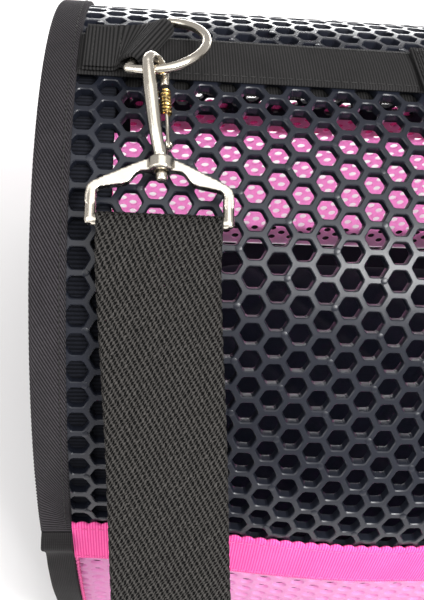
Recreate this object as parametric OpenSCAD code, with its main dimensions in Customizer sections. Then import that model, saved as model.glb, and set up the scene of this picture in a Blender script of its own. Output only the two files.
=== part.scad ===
/* [Bag] */
// Length of the bag over both end bindings
bag_length = 394; // [360:1:430]
// Height of the bag at the ridge
bag_height = 230; // [222:1:240]
// Radius of the crown of the arch
crown_radius = 112; // [110:1:116]
// Angle from the ridge at which the crown meets the flank
crown_angle = 46; // [44:1:48]
// Radius of the flank of the arch
flank_radius = 160; // [156:1:168]
// Angle at which the flank meets the soft wall
flank_angle = 77.5; // [76.5:0.5:78.5]
// Radius of the soft wall's outward swell
wall_radius = 300; // [290:5:320]

/* [Sheets and tapes] */
// Thickness of the honeycomb sheet
sheet_thickness = 3; // [2.4:0.1:3.4]
// Thickness of the mesh cloth
mesh_thickness = 2.4; // [1.8:0.1:2.8]
// Thickness of the end panels
panel_thickness = 3; // [2.4:0.1:3.4]
// Width of the ridge webbing and of the joining tapes
tape_width = 25; // [20:1:28]
// Thickness of the joining tapes
tape_thickness = 1.2; // [0.8:0.1:1.4]
// Width of the end binding on the outside of the arch
binding_width = 11.5; // [10:0.5:14]
// Thickness of the binding and of the ridge webbing
binding_thickness = 1.5; // [1:0.1:1.8]

/* [Door] */
// Width of the border round the door
border_width = 22; // [18:1:26]
// Height of the door's hinge line
door_sill = 26; // [22:1:32]
// Width of one side of the zip chain
zip_side = 2; // [1.6:0.1:2.4]

/* [Shoulder strap] */
// Width of the strap
strap_width = 38; // [36:0.5:38]
// Thickness of one layer of the strap
strap_thickness = 1.6; // [1.2:0.1:1.6]
// Distance of each strap hook from the middle of the bag
hook_place = 157.3; // [150:0.1:160]
// Distance from the bracket's bar to the swivel head
head_reach = 18.7; // [17.6:0.1:20.6]
// Distance from the bracket's bar to the middle of the hook's bow
bow_reach = 52.1; // [50.6:0.1:53.6]

/* [D-rings] */
// Distance between the middles of the ring's two ends
ring_width = 33.2; // [32:0.2:34]
// Diameter of the ring's wire
ring_wire = 3.2; // [3:0.1:3.2]

/* [Handle] */
// Half the distance between the handle's two feet
handle_half_span = 46; // [42:1:50]
// Rise of the handle above its feet
handle_rise = 30; // [26:1:36]

/* [Hidden] */
$fn = 96;

// The side outline is three arcs that run into each other, measured by the angle from the ridge.
// A point at an angle lies in that direction from its arc's centre, as [y, z], front first.
function toward(angle) = [-sin(angle), cos(angle)];
function along(angle) = [cos(angle), sin(angle)];
radii = [crown_radius, flank_radius, wall_radius];
starts = [0, crown_angle, flank_angle];
crown_centre = [0, bag_height - crown_radius];
flank_centre = crown_centre + (crown_radius - flank_radius) * toward(crown_angle);
wall_centre = flank_centre + (flank_radius - wall_radius) * toward(flank_angle);
centres = [crown_centre, flank_centre, wall_centre];
ground_angle = 90 + asin(wall_centre[1] / wall_radius);
ends = [crown_angle, flank_angle, ground_angle];
function arc_angle(distance, radius) = distance / radius * 180 / PI;

end_x = bag_length / 2;
panel_outer = end_x - binding_thickness;
panel_inner = panel_outer - panel_thickness;
binding_inner = end_x - binding_width;
ridge_half_angle = arc_angle(tape_width / 2, crown_radius);
sheet_end_angle = flank_angle + arc_angle(8, wall_radius);
tape_end_angle = flank_angle + arc_angle(tape_width, wall_radius);
hem_height = 14;
hem_angle = 90 + asin((wall_centre[1] - hem_height) / wall_radius);
trim_thickness = 1;
binding_lap = 11;
seam_tape_width = 20;
hoop_wire_radius = 1.2;
board_thickness = 2.5;
bottom_thickness = 2;
pad_thickness = 13;
floor_half_width = 117;

// Door and zip
zip_gap = 0.4;
fixed_zip_edge = -border_width;
door_zip_edge = fixed_zip_edge - zip_side - zip_gap;
door_edge = door_zip_edge - zip_side;
zip_inner = panel_inner + 1;
zip_outer = panel_outer + 0.5;
zip_park_y = 103;
pull_pin_radius = 0.6;
pull_pin_x = zip_outer + 3.9;
pull_pin_z = door_sill - 9.5;

// Strap hooks, drawn along their own length: x across, y away from the bar, z off the bag
hook_slope = 21.5;
hook_standoff = 6.3;
bar_drop = 24.4;
bar_place = crown_centre + (crown_radius + hook_standoff) * toward(hook_slope)
    - bar_drop * along(hook_slope);
hook_lean = 4.2;
hook_roll = 55;
rod_offset = 4;
nose_offset = 5.4;
rod_radius = 2;
nose_radius = 1.5;
bow_radius = (rod_offset + nose_offset) / 2;
bow_middle = (nose_offset - rod_offset) / 2;
yoke_place = head_reach + 5.9;
yoke_depth = 3.2;
gate_pivot = head_reach + 9.3;
gate_tip = bow_reach - 4.3;
spring_turns = 5;
spring_steps = 12;
spring_sides = 6;
spring_pitch = 1.7;
spring_radius = 1.6;
spring_wire = 0.3;
bar_radius = 1.6;
bracket_depth = 2.8;
stem_radius = 1.5;

// D-rings, drawn flat: the bar along y, the round side towards x
ring_half = ring_width / 2;
ring_side = 3;
ring_hold = [9, -15.5];
ring_turn = -23.6;
ring_lift = 12;
ring_place = [-159.9, -17, bag_height + 7.5];

// Strap: half the gap between its two layers, and the gap round the bar
layer_gap = 0.9;
fold_radius = bar_radius + 0.5;
fold_middle = fold_radius + strap_thickness / 2;
fold_clearance = 0.25;

// Route of the strap's middle: x, y, z, turn of its width from x towards y, half gap of layers
fall = [
    [-hook_place, bar_place[0], bar_place[1], 0, fold_middle],
    [-hook_place, -75.5, 209.8, 0, 1.9],
    [-156.2, -88.5, 197, 0, layer_gap],
    [-153.3, -117.5, 170.5, 0, layer_gap],
    [-150.5, -153.5, 138, 0, layer_gap],
    [-147, -177, 112, 8, layer_gap],
    [-142, -189.5, 84, 30, layer_gap],
    [-134, -193, 57, 60, layer_gap],
    [-121, -192, 32, 82, layer_gap],
    [-102, -190, 13, 90, layer_gap],
    [-82, -188, 3.8, 90, layer_gap]
];
slider_x = -46;
slider_length = 27;
slider_wire = 1.3;
slider_z = 5.2;
ground_run = [
    [-67, -187, 2.1, 90, layer_gap],
    [-59.5, -187, 2, 90, layer_gap],
    [slider_x, -186.5, 6.6, 90, layer_gap],
    [-32.5, -186, 2, 90, layer_gap],
    [-18, -186, 0.5, 90, layer_gap],
    [0, -186, 0.3, 90, layer_gap],
    [30, -186, 0.3, 90, layer_gap],
    [62, -187, 0.6, 90, layer_gap]
];
fold_turn = atan2(fall[0][2] - fall[1][2], fall[0][1] - fall[1][1]);
function mirrored(p) = [-p[0], p[1], p[2], 180 - p[3], p[4]];
rise = [for (i = [len(fall) - 1 : -1 : 0]) mirrored(fall[i])];
strap_route = concat(fall, ground_run, rise);
return_route = concat(fall, [ground_run[0]]);

handle_radius = (pow(handle_half_span, 2) + pow(handle_rise, 2)) / (2 * handle_rise);
handle_axis_z = bag_height + 8.7;
handle_swing = 35;
grip_half_length = 31;
foot_length = 22;
webbing_thickness = 1.4;

// Smooth curve through a list of points, with a number of steps between each pair
function spline_point(p, i, t) =
    let (a = p[max(i - 1, 0)], b = p[i], c = p[i + 1], d = p[min(i + 2, len(p) - 1)])
    0.5 * (2 * b + (c - a) * t + (2 * a - 5 * b + 4 * c - d) * t * t
        + (3 * b - a - 3 * c + d) * t * t * t);
function smooth_route(p, steps) = concat(
    [for (i = [0 : len(p) - 2]) for (k = [0 : steps - 1]) spline_point(p, i, k / steps)],
    [p[len(p) - 1]]);
function unit(v) = v / norm(v);
function place(p) = [p[0], p[1], p[2]];

// Four corners of the ribbon's section at one point, on one side of the route's middle
function ribbon_ring(route, i, side) =
    let (ahead = unit(place(route[min(i + 1, len(route) - 1)]) - place(route[max(i - 1, 0)])),
        guide = [cos(route[i][3]), sin(route[i][3]), 0],
        across = unit(guide - (guide * ahead) * ahead),
        out = cross(ahead, across),
        middle = place(route[i]) + side * route[i][4] * out)
    [for (c = [[-1, -1], [1, -1], [1, 1], [-1, 1]])
        middle + c[0] * strap_width / 2 * across + c[1] * strap_thickness / 2 * out];

// Triangles of a closed tube whose rings have a given number of corners
function tube_faces(last, sides) = concat(
    [for (i = [0 : last - 1]) for (k = [0 : sides - 1])
        let (a = sides * i + k, b = sides * i + (k + 1) % sides)
        each [[a, a + sides, b], [b, a + sides, b + sides]]],
    [for (k = [1 : sides - 2]) [0, k, k + 1]],
    [for (k = [1 : sides - 2]) [sides * last + k + 1, sides * last + k, sides * last]]);

module ribbon(route, side) {
    points = [for (i = [0 : len(route) - 1]) each ribbon_ring(route, i, side)];
    polyhedron(points = points, faces = tube_faces(len(route) - 1, 4), convexity = 6);
}

// Corners of the gate spring's wire at one step round its coil
function coil_ring(i) =
    let (angle = 360 * i / spring_steps, rise = i * spring_pitch / spring_steps)
    [for (k = [0 : spring_sides - 1])
        let (turn = 360 * k / spring_sides, reach = spring_radius + spring_wire * cos(turn))
        [reach * cos(angle), rise + spring_wire * sin(turn), reach * sin(angle)]];

// A flat drawing in y and z, drawn out from one x to another
module along_x(from, to) {
    translate([from, 0, 0]) rotate([90, 0, 90]) linear_extrude(to - from) children();
}

module front_and_back() {
    children();
    mirror([0, 1, 0]) children();
}

module wedge(from, to) {
    reach = 700;
    polygon(concat([[0, 0]], [for (k = [0 : 4]) reach * toward(from + (to - from) * k / 4)]));
}

// Strip of the side outline between two angles, a given distance outside the outline
module strip(from, to, outside, thickness) {
    for (i = [0 : 2]) {
        first = max(from, starts[i]);
        last = min(to, ends[i]);
        if (last > first)
            translate(centres[i]) intersection() {
                difference() {
                    circle(radii[i] + outside);
                    circle(radii[i] + outside - thickness);
                }
                wedge(first, last);
            }
    }
}

// Everything inside the side outline, moved outwards by a distance and cut off at a floor
module inside(outside, floor_z) {
    for (side = [0, 1]) mirror([side, 0]) intersection() {
        for (i = [0 : 2])
            translate(centres[i]) intersection() {
                circle(radii[i] + outside);
                wedge(starts[i], i == 2 ? 130 : ends[i]);
            }
        translate([-400, floor_z]) square([400, 400]);
    }
}

// Round bar that follows the side outline at one x
module arch_wire(to, outside, radius) {
    for (i = [0 : 1]) {
        last = min(to, ends[i]);
        translate([0, centres[i][0], centres[i][1]]) rotate([90, 0, 90])
            rotate([0, 0, 90 + starts[i]]) rotate_extrude(angle = last - starts[i])
                translate([radii[i] + outside, 0]) circle(radius, $fn = 32);
    }
}

module pill(length, width) {
    square([length - width, width], center = true);
    for (side = [-1, 1]) translate([side * (length - width) / 2, 0]) circle(width / 2);
}

module rod(from, to, radius) {
    run = to - from;
    turn = [0, acos(run[2] / norm(run)), atan2(run[1], run[0])];
    translate(from) rotate(turn) cylinder(norm(run), r = radius);
}

module base_board() {
    color("dimgray") translate([-186, -floor_half_width, bottom_thickness])
        cube([372, 2 * floor_half_width, board_thickness]);
}

module bottom_panel() {
    color("#1d1c1e") translate([-panel_inner, -120.5, 0])
        cube([2 * panel_inner, 241, bottom_thickness]);
}

module floor_pad() {
    pad_z = bottom_thickness + board_thickness;
    color("#26252a") translate([0, 0, pad_z]) linear_extrude(pad_thickness)
        for (turn = [0, 1]) {
            square([364 - turn * 24, 206 + turn * 24], center = true);
            for (x = [-170, 170], y = [-103, 103]) translate([x, y]) circle(12);
        }
}

module honeycomb_front() {
    color("#2b2d34") along_x(-panel_inner, panel_inner)
        strip(0, sheet_end_angle, 0, sheet_thickness);
}

module honeycomb_back() {
    mirror([0, 1, 0]) honeycomb_front();
}

module ridge_webbing() {
    color("#2a2a2b") front_and_back() along_x(-binding_inner, binding_inner)
        strip(0, ridge_half_angle, binding_thickness, binding_thickness);
}

module ridge_lining_tape() {
    color("#232223") front_and_back() along_x(-172, 172)
        strip(0, ridge_half_angle, -sheet_thickness, tape_thickness);
}

module end_binding(side) {
    color("#2d2b2e") mirror([side, 0, 0]) front_and_back() {
        along_x(binding_inner, end_x)
            strip(0, tape_end_angle, binding_thickness, binding_thickness);
        along_x(panel_outer, end_x) strip(0, tape_end_angle, 0, binding_lap);
    }
}

module seam_tape(side) {
    color("#2b2422") mirror([side, 0, 0]) front_and_back()
        along_x(panel_inner - seam_tape_width, panel_inner)
            strip(0, tape_end_angle, -sheet_thickness, 1);
}

module hoop_wire(side) {
    color("silver") mirror([side, 0, 0]) translate([panel_inner - 1.4, 0, 0])
        front_and_back() arch_wire(flank_angle, -sheet_thickness - 2.4, hoop_wire_radius);
}

module end_panel_left() {
    color("#17171a") along_x(-panel_outer, -panel_inner) inside(0, 0);
}

module door_border() {
    color("#1f1e20") along_x(panel_inner, panel_outer) difference() {
        inside(0, 0);
        inside(fixed_zip_edge, door_sill);
    }
}

module door_panel() {
    color("#17171a") along_x(panel_inner, panel_outer) inside(door_edge, door_sill + 0.6);
}

module zip_chain_fixed() {
    color("#141415") {
        along_x(zip_inner, zip_outer) difference() {
            inside(fixed_zip_edge, door_sill);
            inside(fixed_zip_edge - zip_side, door_sill);
        }
        for (side = [-1, 1]) translate([panel_outer, side * zip_park_y - 2.5, door_sill - 16])
            cube([0.5, 5, 15.6]);
    }
}

module zip_chain_door() {
    color("#141415") along_x(zip_inner, zip_outer) difference() {
        inside(door_zip_edge, door_sill + 0.6);
        inside(door_edge, door_sill + 0.6);
    }
}

module zip_slider() {
    color("#c9c4bb") translate([zip_outer, zip_park_y, door_sill - 8]) {
        rotate([90, 0, 90]) linear_extrude(2.4) rotate(90) pill(12, 8);
        for (side = [-1, 1]) translate([2.4, side * 2.6 - 0.5, -2.8]) cube([2.6, 1, 2.6]);
        translate([pull_pin_x - zip_outer, 0, pull_pin_z - door_sill + 8]) rotate([90, 0, 0])
            cylinder(6.2, r = pull_pin_radius, center = true);
    }
}

module zip_pull() {
    color("#c9c4bb") translate([pull_pin_x, zip_park_y, pull_pin_z]) {
        rotate([90, 0, 0]) difference() {
            cylinder(3.6, r = 1.3, center = true);
            cylinder(5, r = pull_pin_radius + 0.2, center = true);
        }
        translate([0.3, 0, -7.4]) rotate([90, 0, 90]) linear_extrude(1)
            difference() {
                rotate(90) pill(13, 5.6);
                translate([0, -3.8]) circle(1.5);
                translate([0, 6.6]) square([12, 3], center = true);
            }
    }
}

module mesh_wall_front() {
    color("#ffc4ea") along_x(-panel_inner, panel_inner)
        strip(sheet_end_angle, ground_angle, 0, mesh_thickness);
}

module mesh_wall_back() {
    mirror([0, 1, 0]) mesh_wall_front();
}

module joining_tape_front() {
    color("#f8419c") along_x(-binding_inner, binding_inner)
        strip(flank_angle, tape_end_angle, tape_thickness, tape_thickness);
}

module joining_tape_back() {
    mirror([0, 1, 0]) joining_tape_front();
}

module corner_trim(side) {
    color("#262527") mirror([side, 0, 0]) front_and_back() {
        along_x(binding_inner, end_x - 0.5)
            strip(tape_end_angle, ground_angle, trim_thickness, trim_thickness);
        along_x(panel_outer, end_x - 0.5) strip(tape_end_angle, ground_angle, 0, 10);
    }
}

module bottom_hem() {
    color("#262527") {
        front_and_back() along_x(-binding_inner, binding_inner)
            strip(hem_angle, ground_angle, trim_thickness, trim_thickness);
        for (side = [0, 1]) mirror([side, 0, 0]) translate([panel_outer, -96, 0])
            cube([trim_thickness, 192, door_sill - 17]);
    }
}

// Left-hand chain of ring, hook and bracket: the right-hand one is its mirror image
module at_bar() {
    translate([-hook_place, bar_place[0], bar_place[1]]) rotate([hook_slope, 0, 0]) children();
}

module at_stem() {
    at_bar() translate([0, head_reach, 0]) rotate([0, 0, hook_lean])
        rotate([0, hook_roll, 0]) translate([0, -head_reach, 0]) children();
}

module at_ring() {
    translate(ring_place) rotate([0, 0, ring_turn]) rotate([-2.6, -ring_lift, 0])
        translate([-ring_hold[0], -ring_hold[1], 0]) children();
}

module on_side(side) {
    mirror([side, 0, 0]) children();
}

module hook_bracket() {
    arm = [[4, 20.8], [13, 17.6], [19.6, 12.8], [22.3, 8.2], [22.3, 0], [19.3, 0],
        [19.3, 8.5], [14.4, 11.3], [9.9, 12.8], [6.8, 16], [4, 16.8]];
    color("#d8d0c4") at_bar() {
        for (side = [0, 1]) mirror([side, 0, 0]) {
            translate([0, 0, -bracket_depth / 2]) linear_extrude(bracket_depth) {
                polygon(arm);
                translate([20.8, 0]) circle(1.6);
            }
        }
        rod([-20, 0, 0], [20, 0, 0], bar_radius);
        translate([0, head_reach, 0]) rotate([90, 0, 0]) difference() {
            cylinder(4.4, r = 4.2, center = true);
            rotate([0, hook_lean, 0]) cylinder(9, r = stem_radius + 0.35, center = true);
        }
    }
}

module snap_hook() {
    color("#d8d0c4") at_stem() {
        rod([0, head_reach - 2.5, 0], [0, head_reach + 3.3, 0], stem_radius);
        rod([0, head_reach - 5.5, 0], [0, head_reach - 2.5, 0], 2.5);
        rod([0, head_reach + 2.6, 0], [0, yoke_place - 1, 0], 2.9);
        translate([bow_middle, yoke_place, 0])
            cube([bow_radius * 2 + 0.6, yoke_depth, yoke_depth], center = true);
        rod([-rod_offset, yoke_place - 1, 0], [-rod_offset, bow_reach, 0], rod_radius);
        translate([bow_middle, bow_reach, 0]) rotate_extrude(angle = 180)
            translate([bow_radius, 0]) circle(1.8, $fn = 32);
        rod([nose_offset, gate_tip + 0.4, 0], [nose_offset, bow_reach, 0], nose_radius);
    }
}

module hook_gate() {
    color("#d8d0c4") at_stem() {
        rod([nose_offset, gate_pivot - 0.4, 0], [nose_offset, gate_tip, 0], 0.9);
        translate([nose_offset, gate_pivot, 0]) sphere(1.1);
    }
}

module gate_spring() {
    coil_foot = gate_tip - spring_turns * spring_pitch - 1;
    points = [for (i = [0 : spring_turns * spring_steps]) each coil_ring(i)];
    last = spring_turns * spring_steps;
    color("#c9a45a") at_stem() translate([nose_offset, coil_foot, 0])
        polyhedron(points = points, faces = tube_faces(last, spring_sides), convexity = 8);
}

module d_ring() {
    color("#d8d0c4") at_ring() {
        rod([0, -ring_half, 0], [0, ring_half, 0], ring_wire / 2);
        for (side = [-1, 1]) {
            rod([0, side * ring_half, 0], [ring_side, side * ring_half, 0], ring_wire / 2);
            translate([0, side * ring_half, 0]) sphere(ring_wire / 2);
        }
        translate([ring_side, 0, 0]) rotate(-90) rotate_extrude(angle = 180)
            translate([ring_half, 0]) circle(ring_wire / 2);
    }
}

module ring_tape() {
    color("#232324") {
        at_ring() rotate([90, 0, 0]) difference() {
            cylinder(28, r = ring_wire / 2 + 1.8, center = true);
            cylinder(30, r = ring_wire / 2 + 0.4, center = true);
        }
        translate([0, 0, bag_height + binding_thickness]) linear_extrude(2.4)
            polygon([[-184, -12], [-172.6, -12], [-163.4, 11.6], [-170, 12], [-184, 12]]);
    }
}

module strap_folds() {
    color("#2b2a29") for (side = [0, 1]) on_side(side)
        translate([-hook_place, bar_place[0], bar_place[1]]) rotate([fold_turn, 0, 0])
            rotate([0, 90, 0]) intersection() {
                difference() {
                    cylinder(strap_width, r = fold_radius + strap_thickness, center = true);
                    cylinder(strap_width + 2, r = fold_radius, center = true);
                }
                translate([0, 10 + fold_clearance, 0])
                    cube([20, 20, strap_width + 4], center = true);
            }
}

module shoulder_strap() {
    color("#2b2a29") ribbon(smooth_route(strap_route, 3), 1);
}

module strap_return() {
    color("#2b2a29") {
        ribbon(smooth_route(return_route, 3), -1);
        ribbon(smooth_route([for (i = [0 : 3]) rise[len(rise) - 4 + i]], 3), -1);
    }
}

module strap_slider() {
    half = strap_width / 2 + 2.6;
    reach = slider_length / 2;
    color("#d8d0c4") translate([slider_x, -186.5, slider_z]) {
        for (x = [-reach, 0, reach]) rod([x, -half, 0], [x, half, 0], slider_wire);
        for (y = [-half, half]) rod([-reach, y, 0], [reach, y, 0], slider_wire);
        for (x = [-reach, reach], y = [-half, half]) translate([x, y, 0]) sphere(slider_wire);
    }
}

// Band of the handle's curve, drawn in x and z and drawn out across the bag
module handle_band(outer, thickness, width) {
    translate([0, width / 2, handle_axis_z + handle_rise - handle_radius]) rotate([90, 0, 0])
        linear_extrude(width) difference() {
            circle(handle_radius + outer);
            circle(handle_radius + outer - thickness);
        }
}

module handle_webbing() {
    rise_per_mm = tan(handle_swing);
    half = tape_width / 2;
    color("#2a2a2b") intersection() {
        handle_band(0, webbing_thickness, tape_width);
        along_x(-90, 90) translate([0, handle_axis_z + 0.3])
            polygon([[0, 0], [half, half * rise_per_mm], [half, 60], [-half, 60],
                [-half, half * rise_per_mm]]);
    }
}

module handle_grip() {
    color("#1f1e20") intersection() {
        difference() {
            handle_band(4, 9.4, 31);
            handle_band(0, webbing_thickness, tape_width + 0.2);
        }
        translate([-grip_half_length, -30, handle_axis_z + 5])
            cube([2 * grip_half_length, 60, 60]);
    }
}

module handle_feet() {
    foot_z = bag_height + binding_thickness;
    foot_end = handle_half_span + foot_length;
    color("#2a2a2b") for (side = [0, 1]) mirror([side, 0, 0])
        translate([0, tape_width / 2, 0]) rotate([90, 0, 0]) linear_extrude(tape_width)
            polygon([[foot_end, foot_z], [handle_half_span + 5.4, foot_z],
                [handle_half_span - 0.6, handle_axis_z - 0.4],
                [handle_half_span + 1.2, handle_axis_z - 0.4],
                [handle_half_span + 6.2, foot_z + 1.4], [foot_end, foot_z + 1.4]]);
}

base_board();
bottom_panel();
floor_pad();
honeycomb_front();
honeycomb_back();
ridge_webbing();
ridge_lining_tape();
end_binding(1);  // end_binding_left
end_binding(0);  // end_binding_right
seam_tape(1);  // seam_tape_left
seam_tape(0);  // seam_tape_right
hoop_wire(1);  // hoop_wire_left
hoop_wire(0);  // hoop_wire_right
end_panel_left();
door_border();
door_panel();
zip_chain_fixed();
zip_chain_door();
zip_slider();
zip_pull();
mesh_wall_front();
mesh_wall_back();
joining_tape_front();
joining_tape_back();
corner_trim(1);  // corner_trim_left
corner_trim(0);  // corner_trim_right
bottom_hem();
ring_tape();  // ring_tape_left
on_side(1) ring_tape();  // ring_tape_right
d_ring();  // d_ring_left
on_side(1) d_ring();  // d_ring_right
hook_bracket();  // hook_bracket_left
on_side(1) hook_bracket();  // hook_bracket_right
snap_hook();  // snap_hook_left
on_side(1) snap_hook();  // snap_hook_right
hook_gate();  // hook_gate_left
on_side(1) hook_gate();  // hook_gate_right
gate_spring();  // gate_spring_left
on_side(1) gate_spring();  // gate_spring_right
shoulder_strap();
strap_return();
strap_folds();
strap_slider();
handle_feet();
handle_webbing();
handle_grip();
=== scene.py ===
"""Looks of the pet carrier bag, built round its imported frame.

Shapes are worked out in millimetres and scaled to metres when their mesh is made.
On the arched shell a place is given by x along the ridge and by s, the distance round the arch
from the ridge, which is positive in front. "Out" is the height above the shell's outer face.
"""

import math

import bmesh
import bpy
import numpy as np
from mathutils import Matrix, Vector


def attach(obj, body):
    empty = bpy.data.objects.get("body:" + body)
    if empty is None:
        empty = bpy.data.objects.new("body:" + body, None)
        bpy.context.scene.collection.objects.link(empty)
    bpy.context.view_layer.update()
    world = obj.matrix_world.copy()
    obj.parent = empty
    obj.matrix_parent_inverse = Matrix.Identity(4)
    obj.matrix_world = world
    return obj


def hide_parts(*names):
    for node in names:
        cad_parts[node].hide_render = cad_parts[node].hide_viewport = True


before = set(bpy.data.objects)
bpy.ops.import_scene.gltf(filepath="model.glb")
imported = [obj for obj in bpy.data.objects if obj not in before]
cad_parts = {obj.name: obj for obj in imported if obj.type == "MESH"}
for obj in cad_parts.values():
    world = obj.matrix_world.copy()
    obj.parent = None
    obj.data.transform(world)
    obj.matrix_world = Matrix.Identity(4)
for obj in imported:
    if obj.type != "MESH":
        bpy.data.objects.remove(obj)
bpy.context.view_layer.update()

MM = 0.001
TAU = 2 * math.pi

# Side outline: three arcs that run into each other
CROWN_R = 112.0
FLANK_R = 160.0
WALL_R = 300.0
CROWN_END = math.radians(46)
FLANK_END = math.radians(77.5)
RIDGE_Z = 230.0
END_X = 197.0
PANEL_OUTER = 195.5
PANEL_INNER = 192.5
ENDS = ((-1, "left"), (1, "right"))
BINDING_INNER = 185.5
SHEET_THICKNESS = 3.0


def toward(angle):
    """Unit vector (y, z) at an angle from the ridge, on the front side."""
    return np.array([-np.sin(angle), np.cos(angle)])


CROWN_CENTRE = np.array([0.0, RIDGE_Z - CROWN_R])
FLANK_CENTRE = CROWN_CENTRE + (CROWN_R - FLANK_R) * toward(CROWN_END)
WALL_CENTRE = FLANK_CENTRE + (FLANK_R - WALL_R) * toward(FLANK_END)
CROWN_S = CROWN_R * CROWN_END
FLANK_S = CROWN_S + FLANK_R * (FLANK_END - CROWN_END)
GROUND_S = FLANK_S + WALL_R * (math.pi / 2 + math.asin(WALL_CENTRE[1] / WALL_R) - FLANK_END)
SHEET_S = FLANK_S + 8
TAPE_S = FLANK_S + 25


def smooth(value):
    """Rises evenly from 0 to 1 as a value does, and stays there."""
    t = np.clip(value, 0.0, 1.0)
    return t * t * (3 - 2 * t)


def swell(x, s):
    """How far the soft lower part of the shell stands out between its ends, most of all in front."""
    depth = np.where(s < 0, 3.0, 11.0)
    low = smooth((np.abs(s) - 112) / 62) * smooth((GROUND_S - np.abs(s)) / 75)
    return depth * low * smooth((PANEL_INNER - np.abs(x)) / 125)


def shell(x, s, out):
    """Points of the arched shell, as (x, y, z) in millimetres."""
    x, s, out = np.broadcast_arrays(x, s, out)
    out = out + swell(x, s)
    side = np.where(s < 0, -1.0, 1.0)
    s = np.abs(s)
    zones = [s <= CROWN_S, s <= FLANK_S]
    angle = np.select(
        zones,
        [s / CROWN_R, CROWN_END + (s - CROWN_S) / FLANK_R],
        FLANK_END + (s - FLANK_S) / WALL_R,
    )
    radius = np.select(zones, [CROWN_R, FLANK_R], WALL_R) + out
    centre_y = np.select(zones, [CROWN_CENTRE[0], FLANK_CENTRE[0]], WALL_CENTRE[0])
    centre_z = np.select(zones, [CROWN_CENTRE[1], FLANK_CENTRE[1]], WALL_CENTRE[1])
    y = side * (centre_y - radius * np.sin(angle))
    z = centre_z + radius * np.cos(angle)
    return np.stack([x, y, z], -1)


def arch_out(y, z):
    """How far a point of an end panel lies outside the arch, which is negative inside it.

    Also the arch's nearest point, and the direction outwards there.
    """
    y, z = np.broadcast_arrays(np.asarray(y, float), np.asarray(z, float))
    front = -np.abs(y)
    found = None
    for centre, radius, last in (
        (WALL_CENTRE, WALL_R, math.pi),
        (FLANK_CENTRE, FLANK_R, FLANK_END),
        (CROWN_CENTRE, CROWN_R, CROWN_END),
    ):
        run_y = front - centre[0]
        run_z = z - centre[1]
        reach = np.hypot(run_y, run_z)
        angle = np.arctan2(-run_y, run_z)
        foot_y = centre[0] + radius * run_y / reach
        foot_z = centre[1] + radius * run_z / reach
        here = np.stack([reach - radius, foot_y, foot_z, run_y / reach, run_z / reach])
        found = here if found is None else np.where(angle <= last, here, found)
    sign = np.where(y < 0, 1.0, -1.0)
    return found[0], sign * found[1], found[2], sign * found[3], found[4]


# Meshes


def new_piece(name, points, faces, material, body="bag", smooth_angle=35.0):
    """A mesh object from points in millimetres, riding on a body."""
    mesh = bpy.data.meshes.new(name)
    mesh.from_pydata((np.asarray(points) * MM).tolist(), [], faces)
    tidy = bmesh.new()
    tidy.from_mesh(mesh)
    bmesh.ops.recalc_face_normals(tidy, faces=tidy.faces)
    tidy.to_mesh(mesh)
    tidy.free()
    mesh.polygons.foreach_set("use_smooth", [True] * len(mesh.polygons))
    mesh.set_sharp_from_angle(angle=math.radians(smooth_angle))
    mesh.materials.append(material)
    piece = bpy.data.objects.new(name, mesh)
    bpy.context.scene.collection.objects.link(piece)
    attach(piece, body)
    return piece


def grid(*columns):
    """Arrays of matching shapes as one array of points."""
    return np.stack(np.broadcast_arrays(*columns), -1)


def distances(path):
    """Distance from a path's start to each of its points."""
    return np.concatenate([[0], np.cumsum(np.linalg.norm(np.diff(path, axis=0), axis=1))])


def follow(path, reach, spots):
    """A path's columns at some distances, where reach is the distance of each of its rows."""
    return np.stack([np.interp(spots, reach, column) for column in path.T], -1)


def set_cloth(piece, coords, relief=None):
    """Stores the cloth's own coordinates, in millimetres, and the height of its weave."""
    mesh = piece.data
    flat = np.zeros((len(mesh.vertices), 3), np.float32)
    flat[:, :2] = np.asarray(coords).reshape(-1, 2)
    mesh.attributes.new("cloth", "FLOAT_VECTOR", "POINT").data.foreach_set("vector", flat.ravel())
    if relief is not None:
        values = np.asarray(relief, np.float32).ravel()
        mesh.attributes.new("relief", "FLOAT", "POINT").data.foreach_set("value", values)
    return piece


def loft_faces(count, sides, closed=False):
    """Faces of a tube through rings, with its ends shut unless it closes on itself."""
    ring = np.arange(sides)
    following = (ring + 1) % sides
    rows = np.arange(count if closed else count - 1)
    here = rows[:, None] * sides
    there = ((rows + 1) % count)[:, None] * sides
    quads = np.stack([here + ring, here + following, there + following, there + ring], -1)
    faces = quads.reshape(-1, 4).tolist()
    if not closed:
        faces.append(ring[::-1].tolist())
        faces.append((ring + (count - 1) * sides).tolist())
    return faces


def combined(parts):
    """Several (points, faces) as one."""
    points, faces, count = [], [], 0
    for part_points, part_faces in parts:
        points.append(part_points)
        faces += [[i + count for i in face] for face in part_faces]
        count += len(part_points)
    return np.vstack(points), faces


def solid(rings, closed=False):
    """Points and faces of a tube through rings, an array of shape (rings, points, 3)."""
    return rings.reshape(-1, 3), loft_faces(len(rings), rings.shape[1], closed)


def loft(name, rings, material, body="bag", closed=False, smooth_angle=50.0):
    """A closed tube through rings as a piece."""
    return new_piece(name, *solid(rings, closed), material, body, smooth_angle)


def woven_loft(name, along, section, raised, place, material, pitch, depth=0.28, body="bag"):
    """A band with ribs across it, put in place by a function of (along, across, lift)."""
    before, after = np.roll(section, 1, 0), np.roll(section, -1, 0)
    walk = np.cumsum(np.linalg.norm(section - before, axis=1))
    ahead = unit(after - before)
    along = np.asarray(along)[:, None]
    rib = np.sqrt(np.abs(np.sin(math.pi * along / pitch)))
    push = depth * (rib - 1) * raised
    across = section[:, 0] - ahead[:, 1] * push
    lift = section[:, 1] + ahead[:, 0] * push
    rings = place(along + 0 * across, across, lift)
    piece = loft(name, rings, material, body)
    return set_cloth(piece, grid(along, walk), rib + 0 * walk)


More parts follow.
